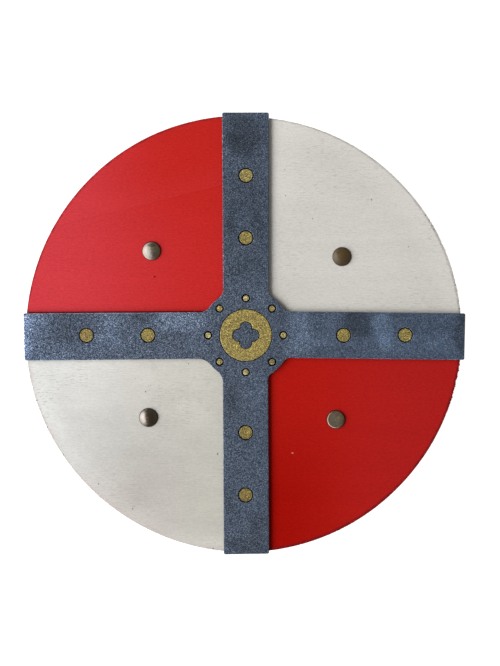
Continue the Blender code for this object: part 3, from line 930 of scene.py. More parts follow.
def make_cut_edge(settings):
    """Raw, dark edge of the sheet where the spray hardly reaches."""
    material, r, surface = new_material("cut_edge")
    place = r.object_place()
    fibres = r.noise(r.stretch(place, (500, 500, 1800)), 1.0, 3.0, 0.6)
    tint = tuple(settings.cut_edge)
    base = r.mix(r.spread(fibres, 0.35, 0.7), tint, scaled(tint, 2.6))
    finish(r, surface, base, 0.8, 0.2, fibres, 0.08 * MM)
    return material


# Brass and leather


def make_brass(settings):
    """Aged brass with fine turned rings: brown where it is tarnished, dull where it is oxidised, with painted
    sheen, glint, reflection and shade on the heads.
    """
    material, r, surface = new_material("aged_brass")
    local = r.attribute("from_axis", "Vector")
    age = r.attribute("age")
    dull = r.attribute("dull")
    flat = local * (1, 1, 0)
    reach = r.vector("LENGTH", flat)
    turned = r.take("ShaderNodeCombineXYZ", 0, {"X": reach * 2200.0})
    rings = r.noise(turned, 1.0, 3.0, 0.6)
    place = r.object_place()
    blotch = r.noise(place, 320.0, 3.0, 0.6)
    grit = r.noise(place, 1100.0, 2.0, 0.6)
    base = r.mix(age, tuple(settings.brass), tuple(settings.aged_brass))
    base = r.mix(dull, base, tuple(settings.oxide))
    base = r.mix(r.attribute("brown"), base, (0.098, 0.062, 0.022))
    base = lighten(r, base, 0.6, rings - 0.5)
    base = lighten(r, base, 0.9, grit - 0.5)
    base = r.mix(r.spread(blotch, 0.5, 0.68) * 0.4, base, (0.07, 0.052, 0.03))
    green = (flat - (0.6 * MM, 4.9 * MM, 0)) / (5.4 * MM, 2.7 * MM, 1)
    patina = r.spread(r.vector("LENGTH", green), 1.0, 0.3) * r.attribute("patina")
    rim_radius = r.attribute("reach")
    across = r.axes(flat)[0]
    # Painted counter-shade: lighter towards each head's right, which the light leaves in shade, by the
    # rivet's even amount
    slope = r.spread(across, -7 * MM, 7 * MM, -0.5, 1.2) * r.attribute("even")
    base = lighten(r, base, 1.0, slope)
    # Painted sheen: a bright patch on each head's left, towards the light, set by the rivet's sheen values
    across = across + (blotch - 0.5) * (9 * MM)
    edge = r.attribute("sheen_edge")
    inner_edge = edge - r.attribute("sheen_soft")
    painted_sheen = r.spread(across, edge, inner_edge) * r.attribute("sheen")
    base = r.mix(painted_sheen, base, tuple(settings.painted_sheen))
    # Painted glint on each head's lower left, as strong as the rivet's patina amount
    glint = r.vector("DOT_PRODUCT", flat, (-0.62, -0.78, 0))
    glint = r.spread(glint, 4.2 * MM, 7.0 * MM) * r.attribute("patina")
    base = r.mix(glint * 0.35, base, (0.72, 0.66, 0.56))
    # Painted shade: each head darker towards its lower side
    base = lighten(r, base, 0.38, r.spread(r.axes(flat)[1], -6.5 * MM, 3 * MM, -1.0, 0.0))
    tints = r.noise(place, 430.0, out="Color")
    tints = (tints - (0.5, 0.5, 0.5)) * (2.4, 1.6, 1.8)
    tinted = r.mix(1.0, base, tints + (1, 1, 1), "MULTIPLY")
    base = r.mix(r.attribute("mottle"), base, tinted)
    base = r.mix(patina * 0.85, base, (0.075, 0.09, 0.034))
    # A dark band at the edge of each head, dark red on the heads in the red quarters
    off_middle = r.vector("DISTANCE", flat, (-0.16 * MM, -0.12 * MM, 0))
    dark_edge_width = r.attribute("crust")
    crust = r.spread(off_middle, rim_radius - (dark_edge_width + 0.4 * MM), rim_radius - dark_edge_width)
    side = r.vector("DOT_PRODUCT", r.vector("NORMALIZE", flat), (-0.88, -0.47, 0))
    # Painted reflection of the lit red board on the rim ring's lower left
    ring = r.sum("COMPARE", reach, rim_radius * 0.86, 0.22 * MM)
    worn = r.spread(side, -0.3, 0.7) * r.attribute("worn")
    base = r.mix(ring * worn, base, (0.62, 0.42, 0.33))
    base = r.mix(crust, base, r.mix(r.attribute("smear"), (0.030, 0.022, 0.015), (0.080, 0.009, 0.008)))
    bare = 1.0 - r.sum("MAXIMUM", r.sum("MAXIMUM", dull, painted_sheen), crust)
    r.feed(surface.inputs["Metallic"], bare)
    rough = r.attribute("rough") + (rings - 0.5) * 0.2
    rough = r.sum("MAXIMUM", rough, crust * 0.8)
    height = rings + blotch * 0.6
    finish(r, surface, base, rough, 0.3, height, 0.05 * MM, 0.6)
    return material


def make_leather(name, tint, flesh_side):
    """Vegetable-tanned leather: pebbled and creased on the grain side, napped on the flesh side."""
    material, r, surface = new_material(name)
    place = r.object_place()
    blotch = r.noise(place, 55.0, 3.0, 0.6)
    wavy = place + r.noise(place, 400.0, out="Color") * (MM, MM, MM)
    folds = r.spread(r.cells(wavy, 900.0, "DISTANCE_TO_EDGE")["Distance"], 0.0, 0.12)
    nap = r.noise(r.stretch(place, (1500, 900, 1500)), 1.0, 4.0, 0.7)
    base = r.mix(r.spread(blotch, 0.35, 0.68), scaled(tint, 0.78), scaled(tint, 1.30))
    if flesh_side:
        base = lighten(r, base, 0.7, nap - 0.5)
        height = nap
    else:
        base = r.mix((1.0 - folds) * 0.45, base, scaled(tint, 0.35))
        height = folds * 0.8 + nap * 0.25
    scuff = r.spread(r.noise(r.stretch(place, (160, 30, 160)), 1.0, 3.0, 0.6), 0.60, 0.75)
    base = r.mix(scuff * 0.25, base, scaled(tint, 2.0))
    dust = r.use("Dust", Vector=place, Density=160.0, Rarity=0.85, Speck=0.04)["Mask"]
    base = r.mix(dust * 0.4, base, scaled(tint, 0.4))
    smooth, coarse, specular, depth = (0.78, 0.92, 0.2, 0.12) if flesh_side else (0.42, 0.60, 0.4, 0.08)
    finish(r, surface, base, r.spread(blotch, 0.3, 0.7, smooth, coarse), specular, height, depth * MM)
    return material


# Pieces

BOARD_SEGMENTS = 1440
# How far in from the rim the sawing and the burrs reach
RIM_BAND = 1.2 * MM
BURR_BAND = 0.8 * MM
# Chips and small burrs: bearing in degrees, how far out in millimetres, half width in steps of CHIP_STEP
CHIP_STEP = 0.32
RIM_CHIPS = (
    (31.0, -0.5, 0.6), (29.6, 0.3, 0.4), (24.4, -0.6, 0.7), (22.6, 0.4, 0.4), (13.6, -0.5, 0.7),
    (11.2, 0.5, 0.5), (8.2, -0.6, 0.6), (6.6, 0.35, 0.4), (40.5, -0.35, 0.6), (47.0, 0.25, 0.5),
    (-8.2, 0.6, 0.4), (-9.8, 0.8, 0.4), (-11.4, 0.5, 0.5), (-12.6, -0.4, 0.4), (-14.0, 0.7, 0.4),
    (-15.6, -0.5, 0.4), (-17.0, 0.6, 0.4), (-18.4, 0.4, 0.4), (-19.6, -0.5, 0.4), (194.0, -0.3, 0.6),
    (201.0, -0.35, 0.6), (208.0, -0.3, 0.5), (222.0, 0.3, 0.4), (229.0, 0.3, 0.4), (-96.8, 0.5, 0.4),
)
# Rough stretches: first and last bearing in degrees, roughness in millimetres
RIM_BURRS = (
    (5.0, 33.0, 0.14), (33.0, 52.0, 0.10), (-22.0, -6.0, 0.28), (-80.0, -22.0, 0.07), (188.0, 235.0, 0.10),
    (52.0, 84.0, 0.06), (96.0, 172.0, 0.05),
)
# How far the rim stands out of a true circle: bearing in degrees, swell in millimetres
SWELL_STEP = 4
RIM_SWELLS = (
    (-84, 0.80), (-57, 0.75), (-45, 0.50), (-20, 0.45), (-6, 0.40), (6, 0.35), (31, 0.55), (41, 0.05),
    (60, -0.10), (84, -0.90), (96, 0.20), (115, 0.50), (140, 0.10), (172, -0.30), (188, 0.0), (205, 0.0),
    (222, -0.18), (240, -0.10), (265, 0.50), (276, 0.80),
)


def swell_at(bearing):
    """The rim's swell at a bearing, in millimetres."""
    for (start, low), (stop, high) in zip(RIM_SWELLS, RIM_SWELLS[1:]):
        if start <= bearing <= stop:
            return low + (high - low) * (bearing - start) / (stop - start)
    return 0.0


def hole_radius(rivets):
    return rivets.shank / 2 + rivets.hole_play


def make_board(settings, rivets):
    """The round board, with stepped plies, sanded edges, a chipped rim and holes for the rivets."""
    radius = settings.diameter / 2
    centre = BOARD_MIDDLE
    low, high = BOARD_LOW.z, BOARD_HIGH.z

    def grow(amount):
        """Moves what is picked out from the middle, by a length at the rim."""
        scale = 1 + amount / radius
        bpy.ops.transform.resize(value=(scale, scale, 1), center_override=centre)

    def on_rim(point, band):
        return math.hypot(point.co.x - centre.x, point.co.y - centre.y) > radius - band

    def on_upper_rim(point, band):
        return on_rim(point, band) and point.co.z > low + 2 * MM

    def turn_from(point, bearing):
        """Degrees from a bearing round to a point, from 0 to 360."""
        return (math.degrees(math.atan2(point.co.y - centre.y, point.co.x - centre.x)) - bearing) % 360

    def off_bearing(point, bearing):
        return abs((turn_from(point, bearing) + 180) % 360 - 180)

    board = peg("quartered_board", centre, radius, low, high, BOARD_SEGMENTS)
    begin(board)
    for ply in range(1, PLIES):
        height = low + settings.thickness * ply / PLIES
        bpy.ops.mesh.select_all(action="SELECT")
        bpy.ops.mesh.bisect(plane_co=(0, 0, height), plane_no=(0, 0, 1))
        pick(board, "VERT", lambda point: abs(point.co.z - height) < 0.05 * MM)
        grow(-settings.ply_relief)
    pick(board, "EDGE", lambda edge: is_level_rim(edge, (low, high)))
    bevel(settings.rim_round, 3)
    pick(board, "FACE", lambda face: abs(face.normal.z) > 0.99)
    bpy.ops.mesh.inset(thickness=2.5 * MM)

    pick(board, "VERT", lambda point: on_rim(point, RIM_BAND))
    bpy.ops.transform.vertex_random(offset=0.05 * MM, uniform=0.5, normal=0.0, seed=4)
    for start in range(RIM_SWELLS[0][0], RIM_SWELLS[-1][0], SWELL_STEP):
        middle = start + SWELL_STEP / 2
        swell = swell_at(middle)
        under_arm = min(middle % 90, -middle % 90) < 4
        if abs(swell) < 0.02 or under_arm:
            continue
        pick(board, "VERT", lambda point: turn_from(point, start) < SWELL_STEP and on_rim(point, RIM_BAND))
        grow(swell * MM)
    for number, (start, stop, rough) in enumerate(RIM_BURRS):
        run = stop - start
        pick(board, "VERT", lambda point: turn_from(point, start) < run and on_upper_rim(point, BURR_BAND))
        bpy.ops.transform.vertex_random(offset=rough * MM, uniform=0.8, normal=0.0, seed=number + 11)
    for angle, depth, reach in RIM_CHIPS:
        half = reach * CHIP_STEP
        pick(board, "VERT", lambda point: off_bearing(point, angle) < half and on_upper_rim(point, RIM_BAND))
        grow(depth * MM)
    end()

    holes = []
    for corner in CORNERS:
        place = middle_of(f"rivet_{corner}")
        holes.append(peg("shank_hole", place, hole_radius(rivets), low - MM, high + MM, 32))
    combine(board, joined(holes), "DIFFERENCE")
    return board


def arm_stud_nodes():
    return [f"arm_stud_{arm}_{step}" for arm in ARMS for step in STEPS]


def ring_stud_nodes():
    return [f"ring_stud_{number}" for number in range(1, RING_COUNT + 1)]


def around_hub(x, y, quarter):
    """A place given from the hub's middle, turned by quarters of a circle."""
    turned = Matrix.Rotation(math.radians(90) * quarter, 2) @ Vector((x, y))
    return Vector((HUB.x + turned.x, HUB.y + turned.y, 0))


# How far each arm's corners are moved, in millimetres: {side of the corner: move}
ARM_END_SKEW = {
    "right": {(-1, 1): (0, 0.9), (-1, -1): (0, 0.9), (1, 1): (0, -1.2), (1, -1): (-0.9, -1.3)},
    "top": {(-1, 1): (-0.5, 0), (-1, -1): (0.6, 0), (1, -1): (-0.3, 0), (1, 1): (-0.2, 0)},
    "left": {(-1, 1): (0, -1.2), (-1, -1): (0.8, -1.9)},
    "bottom": {(-1, -1): (1.0, 0), (1, -1): (0, 0.6), (1, 1): (-1.1, 0)},
}
# Heights of the small bites in the left arm's end, in millimetres from the hub's middle
LEFT_END_BITES = (15.4, 8.6, 3.3, -0.2, -2.6, -9.6, -15.0, -20.5)


def make_arm(name, low, high, skew):
    """A flat bar with its ends a little out of square, as they were cut."""
    bar = block(name, low, high)
    begin(bar)
    middle = (Vector(low) + Vector(high)) / 2
    for (side_x, side_y), (move_x, move_y) in skew.items():
        def in_corner(point):
            away = point.co - middle
            return away.x * side_x > 0 and away.y * side_y > 0

        pick(bar, "VERT", in_corner)
        bpy.ops.transform.translate(value=(move_x * MM, move_y * MM, 0))
    end()
    return bar


# Fillets at the foot of the top, left, bottom and right arm, one to each side of it: how far the arm's
# edge is off its place, in millimetres, and the fillet's radius as a share of the setting
HUB_FILLETS = (
    ((-0.38, 1.5), (-0.28, 1.0)),
    ((0.38, 2.3), (-0.24, 1.6)),
    ((-0.88, 1.0), (-0.20, 2.1)),
    ((0.48, 1.6), (-0.46, 1.1)),
)
# Beyond this from the hub's middle there are only the arms' ends, and no holes
NEAR_ENDS = 180 * MM


def make_cross(settings, inlays):
    """The flat cross: two arms and a round hub with filleted corners, cut through for the inlays."""
    half = settings.arm_width / 2
    low, high = CROSS_LOW.z, CROSS_HIGH.z
    cross = peg("speckled_cross", HUB, settings.hub_radius, low, high, 160)
    left, right = HUB.x - half, HUB.x + half
    foot, top = HUB.y - half, HUB.y + half
    spans = {
        "right": (HUB.x, foot, CROSS_HIGH.x, top),
        "top": (left, HUB.y, right, CROSS_HIGH.y),
        "left": (CROSS_LOW.x, foot, HUB.x, top),
        "bottom": (left, CROSS_LOW.y, right, HUB.y),
    }
    for arm, (low_x, low_y, high_x, high_y) in spans.items():
        bar = make_arm(f"{arm}_arm", (low_x, low_y, low), (high_x, high_y, high), ARM_END_SKEW[arm])
        combine(cross, bar, "UNION")

    fillers, rounds = [], []
    for quarter, corners in enumerate(HUB_FILLETS):
        for side, (shift, widening) in zip((-1, 1), corners):
            radius = settings.fillet * widening
            edge = half + shift * MM
            round_x = edge + radius
            round_y = math.sqrt((settings.hub_radius + radius) ** 2 - round_x ** 2)
            on_hub = settings.hub_radius / (settings.hub_radius + radius)
            near = around_hub(side * (edge - MM), round_y * on_hub - 0.1 * MM, quarter)
            far = around_hub(side * round_x * on_hub, round_y, quarter)
            corner = Vector((min(near.x, far.x), min(near.y, far.y), low))
            opposite = Vector((max(near.x, far.x), max(near.y, far.y), high))
            fillers.append(block("filler", corner, opposite))
            middle = around_hub(side * round_x, round_y, quarter)
            rounds.append(peg("fillet", middle, radius, low - MM, high + MM, 96))
    combine(cross, joined(fillers), "UNION")
    combine(cross, joined(rounds), "DIFFERENCE")
    tidy_faces(cross, 0.08 * MM)

    begin(cross)
    pick(cross, "EDGE", lambda edge: is_upright(edge) and max(
        abs(midpoint(edge).x - HUB.x), abs(midpoint(edge).y - HUB.y)) > NEAR_ENDS)
    bevel(settings.corner_radius, 5)
    pick(cross, "EDGE", lambda edge: is_level_rim(edge, (low, high)))
    bevel(settings.edge_round, 4)
    end()

    reach = size_of("medallion").x / 2 + inlays.groove
    holes = [peg("medallion_hole", HUB, reach, low - MM, high + MM, 144)]
    for node in arm_stud_nodes():
        radius = size_of(node).x / 2 + inlays.stud_groove
        holes.append(peg("arm_hole", middle_of(node), radius, low - MM, high + MM, 56))
    for node in ring_stud_nodes():
        radius = size_of(node).x / 2 + inlays.ring_groove
        holes.append(peg("ring_hole", middle_of(node), radius, low - MM, high + MM, 40))
    combine(cross, joined(holes), "DIFFERENCE")

    def round_hole(edge):
        return abs(midpoint(edge).x - HUB.x) < NEAR_ENDS and is_level_rim(edge, (low, high))

    begin(cross)
    bpy.ops.mesh.select_all(action="SELECT")
    bpy.ops.mesh.dissolve_limited(angle_limit=math.radians(0.1), delimit=set())
    pick(cross, "EDGE", round_hole)
    bevel(settings.hole_round, 3)
    end()
    bites = []
    for away in LEFT_END_BITES:
        place = (CROSS_LOW.x + (0.1 - 0.02 * away) * MM, HUB.y + away * MM)
        bites.append(peg("bite", place, 1.0 * MM, low - MM, high + MM, 16))
    combine(cross, joined(bites), "DIFFERENCE")
    return cross


def disc_steps(radius, low, high, edge_round):
    """Profile of a flat disc with a rounded upper edge."""
    steps = [(radius - 0.1 * MM, low), (radius, low + 0.1 * MM), (radius, high - edge_round)]
    for part in range(1, 5):
        angle = math.radians(90) * part / 4
        steps.append((radius - edge_round * (1 - math.cos(angle)), high - edge_round * (1 - math.sin(angle))))
    steps.append((radius - edge_round - 0.8 * MM, high))
    return steps


def four_pegs(radius, spread, low, high):
    """A quatrefoil: four pegs round a square block."""
    half = spread / 2
    shape = block("lobes", (HUB.x - half, HUB.y - half, low), (HUB.x + half, HUB.y + half, high))
    for quarter in range(4):
        lobe = peg("lobe", around_hub(spread, 0, quarter), radius, low, high, 64)
        combine(shape, lobe, "UNION")
    tidy_faces(shape, 0.05 * MM)
    return shape


def make_medallion(settings):
    """The gold disc in the hub, cut through for its quatrefoil."""
    low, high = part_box("medallion")
    steps = disc_steps(size_of("medallion").x / 2, low.z, high.z, 0.35 * MM)
    disc = turn_on_lathe("gold_medallion", HUB, steps, 144)
    radius = settings.lobe_radius + settings.groove
    cutter = four_pegs(radius, settings.lobe_radius * settings.lobe_spread, low.z - MM, high.z + MM)
    combine(disc, cutter, "DIFFERENCE")
    begin(disc)

    def lobe_edge(edge):
        away = midpoint(edge) - HUB
        return math.hypot(away.x, away.y) < 15 * MM and is_level_rim(edge, (high.z,))

    pick(disc, "EDGE", lobe_edge)
    bevel(0.3 * MM, 3)
    end()
    return disc


def make_motif(settings):
    """The quatrefoil let into the medallion, with its edge softened."""
    low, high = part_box("medallion_motif")
    motif = four_pegs(settings.lobe_radius, settings.lobe_radius * settings.lobe_spread, low.z, high.z)
    motif.name = motif.data.name = "quatrefoil"
    begin(motif)
    pick(motif, "EDGE", lambda edge: is_level_rim(edge, (high.z,)))
    bevel(settings.edge_round, 3)
    end()
    return motif


# How much smaller the heads' radius is than the solids'
HEAD_TRIM = 0.2 * MM


def rivet_steps(settings):
    """Profile of a rivet, from the middle of its cap up to the top of its dome."""
    bottom = RIVET_LOW.z
    cap = settings.cap_diameter / 2
    cap_top = bottom + settings.cap_thickness
    head = size_of("rivet_upper_left").x / 2 - HEAD_TRIM
    seat = CROSS_LOW.z
    steps = []
    flat = 0.4 * MM
    for part in range(7):
        angle = math.radians(90) * part / 6
        steps.append((flat + (cap - flat) * math.sin(angle), bottom + 0.8 * MM * (1 - math.cos(angle))))
    steps += [(cap, cap_top - 0.1 * MM), (cap - 0.1 * MM, cap_top), (settings.shank / 2, cap_top)]
    steps += [(settings.shank / 2, seat), (head - 0.15 * MM, seat), (head, seat + 0.12 * MM)]
    rise = RIVET_HIGH.z - seat - settings.rim
    ball = (head ** 2 + rise ** 2) / (2 * rise)
    widest = math.asin(head / ball)
    for part in range(14):
        angle = widest * (1 - part / 14)
        steps.append((ball * math.sin(angle), RIVET_HIGH.z - ball * (1 - math.cos(angle))))
    steps.append((0.25 * MM, RIVET_HIGH.z))
    return steps


def strap_lengths(settings, half_spacing):
    """The stretches of half a strap along its middle line: flat, bend, slope, bend and tab."""
    drop = STRAP_HIGH.z - settings.thickness - STRAP_LOW.z
    rise = settings.bend_radius * (1 - math.cos(settings.slope))
    run = settings.bend_radius * math.sin(settings.slope)
    slope_rise = drop - 2 * rise
    cap = bpy.context.scene.shield_rivets.cap_diameter / 2
    tab = cap + settings.tab_margin + settings.end_margin
    flat = half_spacing + settings.end_margin - tab - slope_rise / math.tan(settings.slope) - 2 * run
    bend = settings.bend_radius * settings.slope
    return flat, bend, slope_rise / math.sin(settings.slope), bend, tab


def strap_path(settings, half_spacing):
    """A strap's middle line from one end to the other, as points, with the distance to each."""
    flat, bend, slope, _, tab = strap_lengths(settings, half_spacing)
    down = [(tab, 0), (bend, -1), (slope, 0), (bend, 1)]
    parts = [*down, (2 * flat, 0), *reversed(down)]
    top = STRAP_HIGH.z - settings.thickness / 2
    spot, heading, gone = Vector((-half_spacing - settings.end_margin, top)), 0.0, 0.0
    points = [(gone, spot.copy())]
    for run, turn in parts:
        steps = 8 if turn else 3
        for _ in range(steps):
            change = turn * settings.slope / steps
            heading += change / 2
            stretch = run / steps
            chord = stretch if not turn else 2 * settings.bend_radius * math.sin(abs(change) / 2)
            spot += chord * Vector((math.cos(heading), math.sin(heading)))
            heading += change / 2
            gone += stretch
            points.append((gone, spot.copy()))
    return points


def make_strap(side, settings, rivets):
    """A leather strap cut flat, creased, rounded and punched, and then bent to its shape."""
    lower, upper = middle_of(f"rivet_lower_{side}"), middle_of(f"rivet_upper_{side}")
    along = upper - lower
    half_spacing = math.hypot(along.x, along.y) / 2
    points = strap_path(settings, half_spacing)
    total = points[-1][0]
    half = settings.thickness / 2
    name = f"leather_strap_{side}"
    strap = block(name, (0, -settings.width / 2, -half), (total, settings.width / 2, half))
    begin(strap)
    pick(strap, "EDGE", is_upright)
    bevel(settings.end_round, 9)
    pick(strap, "EDGE", lambda edge: is_level_rim(edge, (-half, half)))
    bevel(0.6 * MM, 3)
    pick(strap, "FACE", lambda face: face.normal.z < -0.99)
    bpy.ops.mesh.inset(thickness=settings.crease_margin - 0.6 * MM)
    bpy.ops.mesh.inset(thickness=0.35 * MM, depth=-0.28 * MM)
    bpy.ops.mesh.inset(thickness=0.35 * MM, depth=0.28 * MM)
    end()
    punches = [
        peg("punch", (spot, 0), hole_radius(rivets), -3 * half, 3 * half, 32)
        for spot in (settings.end_margin, total - settings.end_margin)
    ]
    combine(strap, joined(punches), "DIFFERENCE")
    begin(strap)
    for gone, _ in points[1:-1]:
        bpy.ops.mesh.select_all(action="SELECT")
        bpy.ops.mesh.bisect(plane_co=(gone, 0, 0), plane_no=(1, 0, 0))
    end()

    path = bpy.data.curves.new("strap_line", "CURVE")
    path.dimensions = "3D"
    path.twist_mode = "Z_UP"
    path.use_path = True
    line = path.splines.new("POLY")
    line.points.add(len(points) - 1)
    for item, (_, spot) in zip(line.points, points):
        item.co = (spot.x, 0, spot.y, 1)
    guide = bpy.data.objects.new("strap_line", path)
    bpy.context.scene.collection.objects.link(guide)
    only(strap)
    step = strap.modifiers.new("bend", "CURVE")
    step.object = guide
    step.deform_axis = "POS_X"
    bpy.ops.object.modifier_apply(modifier=step.name)
    bpy.data.objects.remove(guide)
    strap.location = ((lower.x + upper.x) / 2, (lower.y + upper.y) / 2, 0)
    strap.rotation_euler.z = math.atan2(along.y, along.x)
    place_in_mesh(strap)
    return strap


# Operators


def set_in(piece, node):
    """Sets a finished piece under the root body and hides the node that it takes the place of."""
    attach(piece, "root")
    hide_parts(node)


class SHIELD_OT_board(Operator):
    """Build the painted board"""

    bl_idname = "shield.board"
    bl_label = "Board"

    def execute(self, context):
        settings = context.scene.shield_board
        board = make_board(settings, context.scene.shield_rivets)

        def coat(face):
            """The paint on the face, veneer on the back and in the holes, and plies at the rim."""
            away = face.center - BOARD_MIDDLE
            inside = math.hypot(away.x, away.y) < settings.diameter / 2 - 2 * MM
            if face.normal.z > 0.5:
                return 0
            return 2 if inside or face.normal.z < -0.5 else 1

        dress(board, [make_paint(settings), make_ply_edge(settings), make_veneer(settings)], coat)
        set_in(board, "board")
        return {"FINISHED"}


class SHIELD_OT_cross(Operator):
    """Build the speckled cross"""

    bl_idname = "shield.cross"
    bl_label = "Cross"

    def execute(self, context):
        settings = context.scene.shield_cross
        cross = make_cross(settings, context.scene.shield_inlays)
        dress(cross, [make_gunmetal(settings), make_cut_edge(settings)], wall_is_second)
        set_in(cross, "cross")
        return {"FINISHED"}


class SHIELD_OT_medallion(Operator):
    """Build the gold medallion and the quatrefoil in it"""

    bl_idname = "shield.medallion"
    bl_label = "Medallion"

    def execute(self, context):
        settings = context.scene.shield_inlays
        cut_edge = bpy.data.materials["cut_edge"]
        medallion = make_medallion(settings)
        reach = size_of("medallion").x / 2
        mark_axis(medallion, HUB, shade=1.04, orange=0.12, pale=0.0, pale_rim=1.0, reach=reach)
        dress(medallion, [make_gold(settings), cut_edge], wall_is_second)
        set_in(medallion, "medallion")
        motif = make_motif(settings)
        dress(motif, [bpy.data.materials["gunmetal_spray"], cut_edge], wall_is_second)
        set_in(motif, "medallion_motif")
        return {"FINISHED"}


def copies_at(model, nodes, prefix, shades):
    """A modelled piece copied to each node's place, each with its own mesh and its own shade."""
    home = middle_of(nodes[0])
    made = []
    for node in nodes:
        piece = bpy.data.objects.new(prefix + node, model.data.copy())
        piece.data.name = piece.name
        bpy.context.scene.collection.objects.link(piece)
        place = middle_of(node)
        piece.data.transform(Matrix.Translation((place.x - home.x, place.y - home.y, 0)))
        shade, orange, pale = shades.get(node, (1.0, 0.08, 0.0))
        reach = size_of(node).x / 2
        mark_axis(piece, place, shade=shade, orange=orange, pale=pale, pale_rim=0.0, reach=reach)
        made.append(piece)
    bpy.data.objects.remove(model)
    return made


# Each stud's own tone: how light, how orange and how pale
STUD_SHADES = {
    "arm_stud_left_outer": (0.77, 0.30, 0.1), "arm_stud_left_inner": (0.94, 0.10, 0.0),
    "arm_stud_right_inner": (0.87, 0.08, 0.0), "arm_stud_right_outer": (0.96, 0.08, 0.0),
    "arm_stud_top_inner": (0.89, 0.08, 0.0), "arm_stud_top_outer": (0.98, 0.05, 0.15),
    "arm_stud_bottom_inner": (0.75, 0.08, 0.0), "arm_stud_bottom_outer": (0.68, 0.18, 0.0),
    "ring_stud_1": (1.05, 0.05, 0.5), "ring_stud_2": (0.80, 0.30, 0.2), "ring_stud_3": (1.05, 0.05, 0.6),
    "ring_stud_4": (1.30, 0.90, 0.3), "ring_stud_5": (1.12, 0.02, 0.7), "ring_stud_6": (0.95, 0.15, 0.3),
    "ring_stud_7": (1.12, 0.02, 0.6), "ring_stud_8": (0.75, 0.05, 0.4),
}


class SHIELD_OT_studs(Operator):
    """Build the gold studs in the arms and round the medallion"""

    bl_idname = "shield.studs"
    bl_label = "Studs"

    def execute(self, context):
        settings = context.scene.shield_inlays
        coats = [bpy.data.materials["gold_spray"], bpy.data.materials["cut_edge"]]
        groups = ((arm_stud_nodes(), 48, 0.0), (ring_stud_nodes(), 36, settings.ring_drop))
        for nodes, segments, drop in groups:
            low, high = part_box(nodes[0])
            steps = disc_steps(size_of(nodes[0]).x / 2, low.z, high.z - drop, settings.edge_round)
            model = turn_on_lathe("stud_model", middle_of(nodes[0]), steps, segments)
            for piece, node in zip(copies_at(model, nodes, "gold_", STUD_SHADES), nodes):
                dress(piece, coats, wall_is_second)
                set_in(piece, node)
        return {"FINISHED"}


# Each rivet's own wear and its painted light and shade, as the brass material reads it. Lengths are in metres
WEAR = (
    "age", "dull", "brown", "rough", "patina", "worn", "sheen", "sheen_edge", "sheen_soft", "mottle", "crust",
    "smear", "even",
)
RIVET_WEAR = {
    "upper_left": (0.0, 0.3, 0.0, 0.46, 1.0, 0.6, 0.80, 4.3 * MM, 7.5 * MM, 0.28, 0.45 * MM, 1.0, 0.2),
    "upper_right": (1.0, 0.8, 1.0, 0.55, 0.0, 0.0, 0.11, -1.5 * MM, 6 * MM, 0.15, 0.30 * MM, 0.0, 0.3),
    "lower_left": (1.0, 0.15, 0.0, 0.42, 0.0, 0.0, 0.72, -0.1 * MM, 5 * MM, 0.10, 0.40 * MM, 0.0, 0.1),
    "lower_right": (0.3, 1.0, 0.0, 0.75, 0.2, 1.0, 0.0, 0.0, 4 * MM, 1.0, 0.50 * MM, 1.0, 1.0),
}


class SHIELD_OT_rivets(Operator):
    """Build the four domed rivets with their caps"""

    bl_idname = "shield.rivets"
    bl_label = "Rivets"

    def execute(self, context):
        settings = context.scene.shield_rivets
        brass = make_brass(settings)
        for corner in CORNERS:
            node = f"rivet_{corner}"
            place = middle_of(node)
            rivet = turn_on_lathe(f"brass_{node}", place, rivet_steps(settings), 72)
            wear = dict(zip(WEAR, RIVET_WEAR[corner]))
            mark_axis(rivet, place, reach=size_of(node).x / 2, **wear)
            dress(rivet, [brass], lambda face: 0)
            set_in(rivet, node)
        return {"FINISHED"}


class SHIELD_OT_straps(Operator):
    """Build the two leather straps on the back"""

    bl_idname = "shield.straps"
    bl_label = "Straps"

    def execute(self, context):
        settings = context.scene.shield_straps
        grain = make_leather("leather_grain", tuple(settings.leather), False)
        flesh = make_leather("leather_flesh", tuple(settings.flesh), True)
        for side in SIDES:
            strap = make_strap(side, settings, context.scene.shield_rivets)
            dress(strap, [grain, flesh], lambda face: 1 if face.normal.z > 0.5 else 0)
            set_in(strap, f"strap_{side}")
        return {"FINISHED"}


def make_floor_material(settings):
    material, r, surface = new_material("pale_floor")
    place = r.object_place()
    tone = r.spread(r.noise(place, 6.0), 0.3, 0.7, 0.985, 1.0)
    r.feed(surface.inputs["Base Color"], r.shade(tuple(settings.floor), tone))
    surface.inputs["Roughness"].default_value = 0.9
    surface.inputs["Specular IOR Level"].default_value = 0.1
    surface.inputs["Emission Color"].default_value = (1.0, 1.0, 1.0, 1.0)
    surface.inputs["Emission Strength"].default_value = settings.floor_glow
    return material


def make_sky():
    """Dim all-round light, brighter near the horizon and dark straight above."""
    world = bpy.data.worlds.new("studio")
    world.use_nodes = True
    tree = world.node_tree
    tree.nodes.clear()
    r = Recipe(tree)
    up = r.axes(r.take("ShaderNodeTexCoord", "Generated"))[2]
    strength = r.spread(up, 0.12, 0.40, 0.55, 0.24)
    strength = strength * r.spread(up, 0.8, 0.97, 1.0, 0.25)
    sky = r.add("ShaderNodeBackground", {"Color": (1.0, 0.99, 0.97), "Strength": strength})
    output = r.add("ShaderNodeOutputWorld")
    tree.links.new(sky.outputs["Background"], output.inputs["Surface"])
    bpy.context.scene.world = world


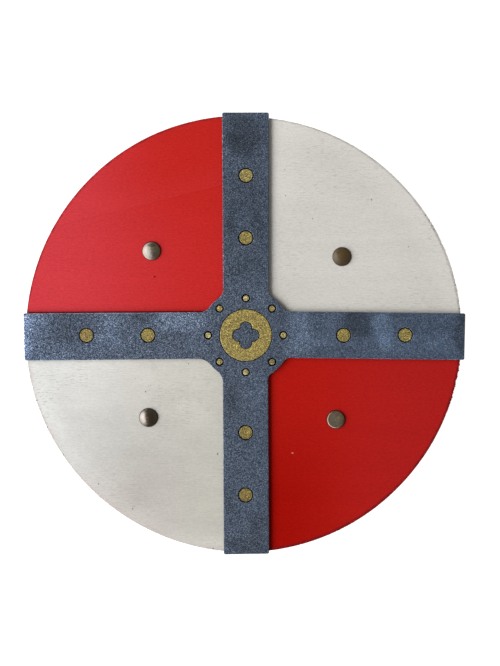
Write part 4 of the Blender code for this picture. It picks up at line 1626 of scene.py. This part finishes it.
def add_window(settings):
    """A large soft light low on the left, a little towards the shield's foot."""
    height, bearing, distance = math.radians(34), math.radians(195), 2.6
    aim = Vector((0, 0, BOARD_HIGH.z))
    level = math.cos(height)
    away = Vector((level * math.cos(bearing), level * math.sin(bearing), math.sin(height)))
    bpy.ops.object.light_add(type="AREA", location=aim + away * distance)
    window = bpy.context.object
    window.name = "window_light"
    window.rotation_euler = away.to_track_quat("Z", "Y").to_euler()
    window.data.shape = "RECTANGLE"
    window.data.size = 4.6
    window.data.size_y = 1.6
    window.data.energy = settings.window_power


class SHIELD_OT_stage(Operator):
    """Set out the floor, the soft light and the camera"""

    bl_idname = "shield.stage"
    bl_label = "Stage"

    def execute(self, context):
        settings = context.scene.shield_stage
        bpy.ops.mesh.primitive_plane_add(size=12, location=(0, 0, 0))
        floor = bpy.context.object
        floor.name = "studio_floor"
        floor.data.materials.append(make_floor_material(settings))
        make_sky()
        add_window(settings)
        bpy.ops.object.camera_add(location=(0, 0, 1))
        camera = bpy.context.object
        camera.name = "photo_camera"
        camera.data.lens = settings.lens
        camera.data.sensor_width = 36.0
        distance = settings.view_height * settings.lens / camera.data.sensor_width
        camera.location = (settings.view_x, settings.view_y, BOARD_HIGH.z + distance)
        camera.rotation_euler = (0, 0, 0)
        context.scene.camera = camera
        context.scene.view_settings.view_transform = "Standard"
        return {"FINISHED"}


class SHIELD_PT_panel(Panel):
    """The shield's pieces and their sizes"""

    bl_idname = "SHIELD_PT_panel"
    bl_label = "Round Shield"
    bl_space_type = "VIEW_3D"
    bl_region_type = "UI"
    bl_category = "Shield"

    def draw(self, context):
        for key, operators in PANEL_ROWS.items():
            box = self.layout.box()
            settings = getattr(context.scene, key)
            for name in settings.__annotations__:
                box.prop(settings, name)
            for operator in operators:
                box.operator(operator)


PANEL_ROWS = {
    "shield_board": ("shield.board",),
    "shield_cross": ("shield.cross",),
    "shield_inlays": ("shield.medallion", "shield.studs"),
    "shield_rivets": ("shield.rivets",),
    "shield_straps": ("shield.straps",),
    "shield_stage": ("shield.stage",),
}
CLASSES = (
    *SETTINGS.values(), SHIELD_OT_board, SHIELD_OT_cross, SHIELD_OT_medallion, SHIELD_OT_studs,
    SHIELD_OT_rivets, SHIELD_OT_straps, SHIELD_OT_stage, SHIELD_PT_panel,
)


def register():
    for item in CLASSES:
        bpy.utils.register_class(item)
    for key, group in SETTINGS.items():
        setattr(bpy.types.Scene, key, PointerProperty(type=group))


def unregister():
    for key in SETTINGS:
        delattr(bpy.types.Scene, key)
    for item in reversed(CLASSES):
        bpy.utils.unregister_class(item)


def main():
    register()
    make_groups()
    bpy.ops.shield.board()
    bpy.ops.shield.cross()
    bpy.ops.shield.medallion()
    bpy.ops.shield.studs()
    bpy.ops.shield.rivets()
    bpy.ops.shield.straps()
    bpy.ops.shield.stage()


if __name__ == "__main__":
    main()
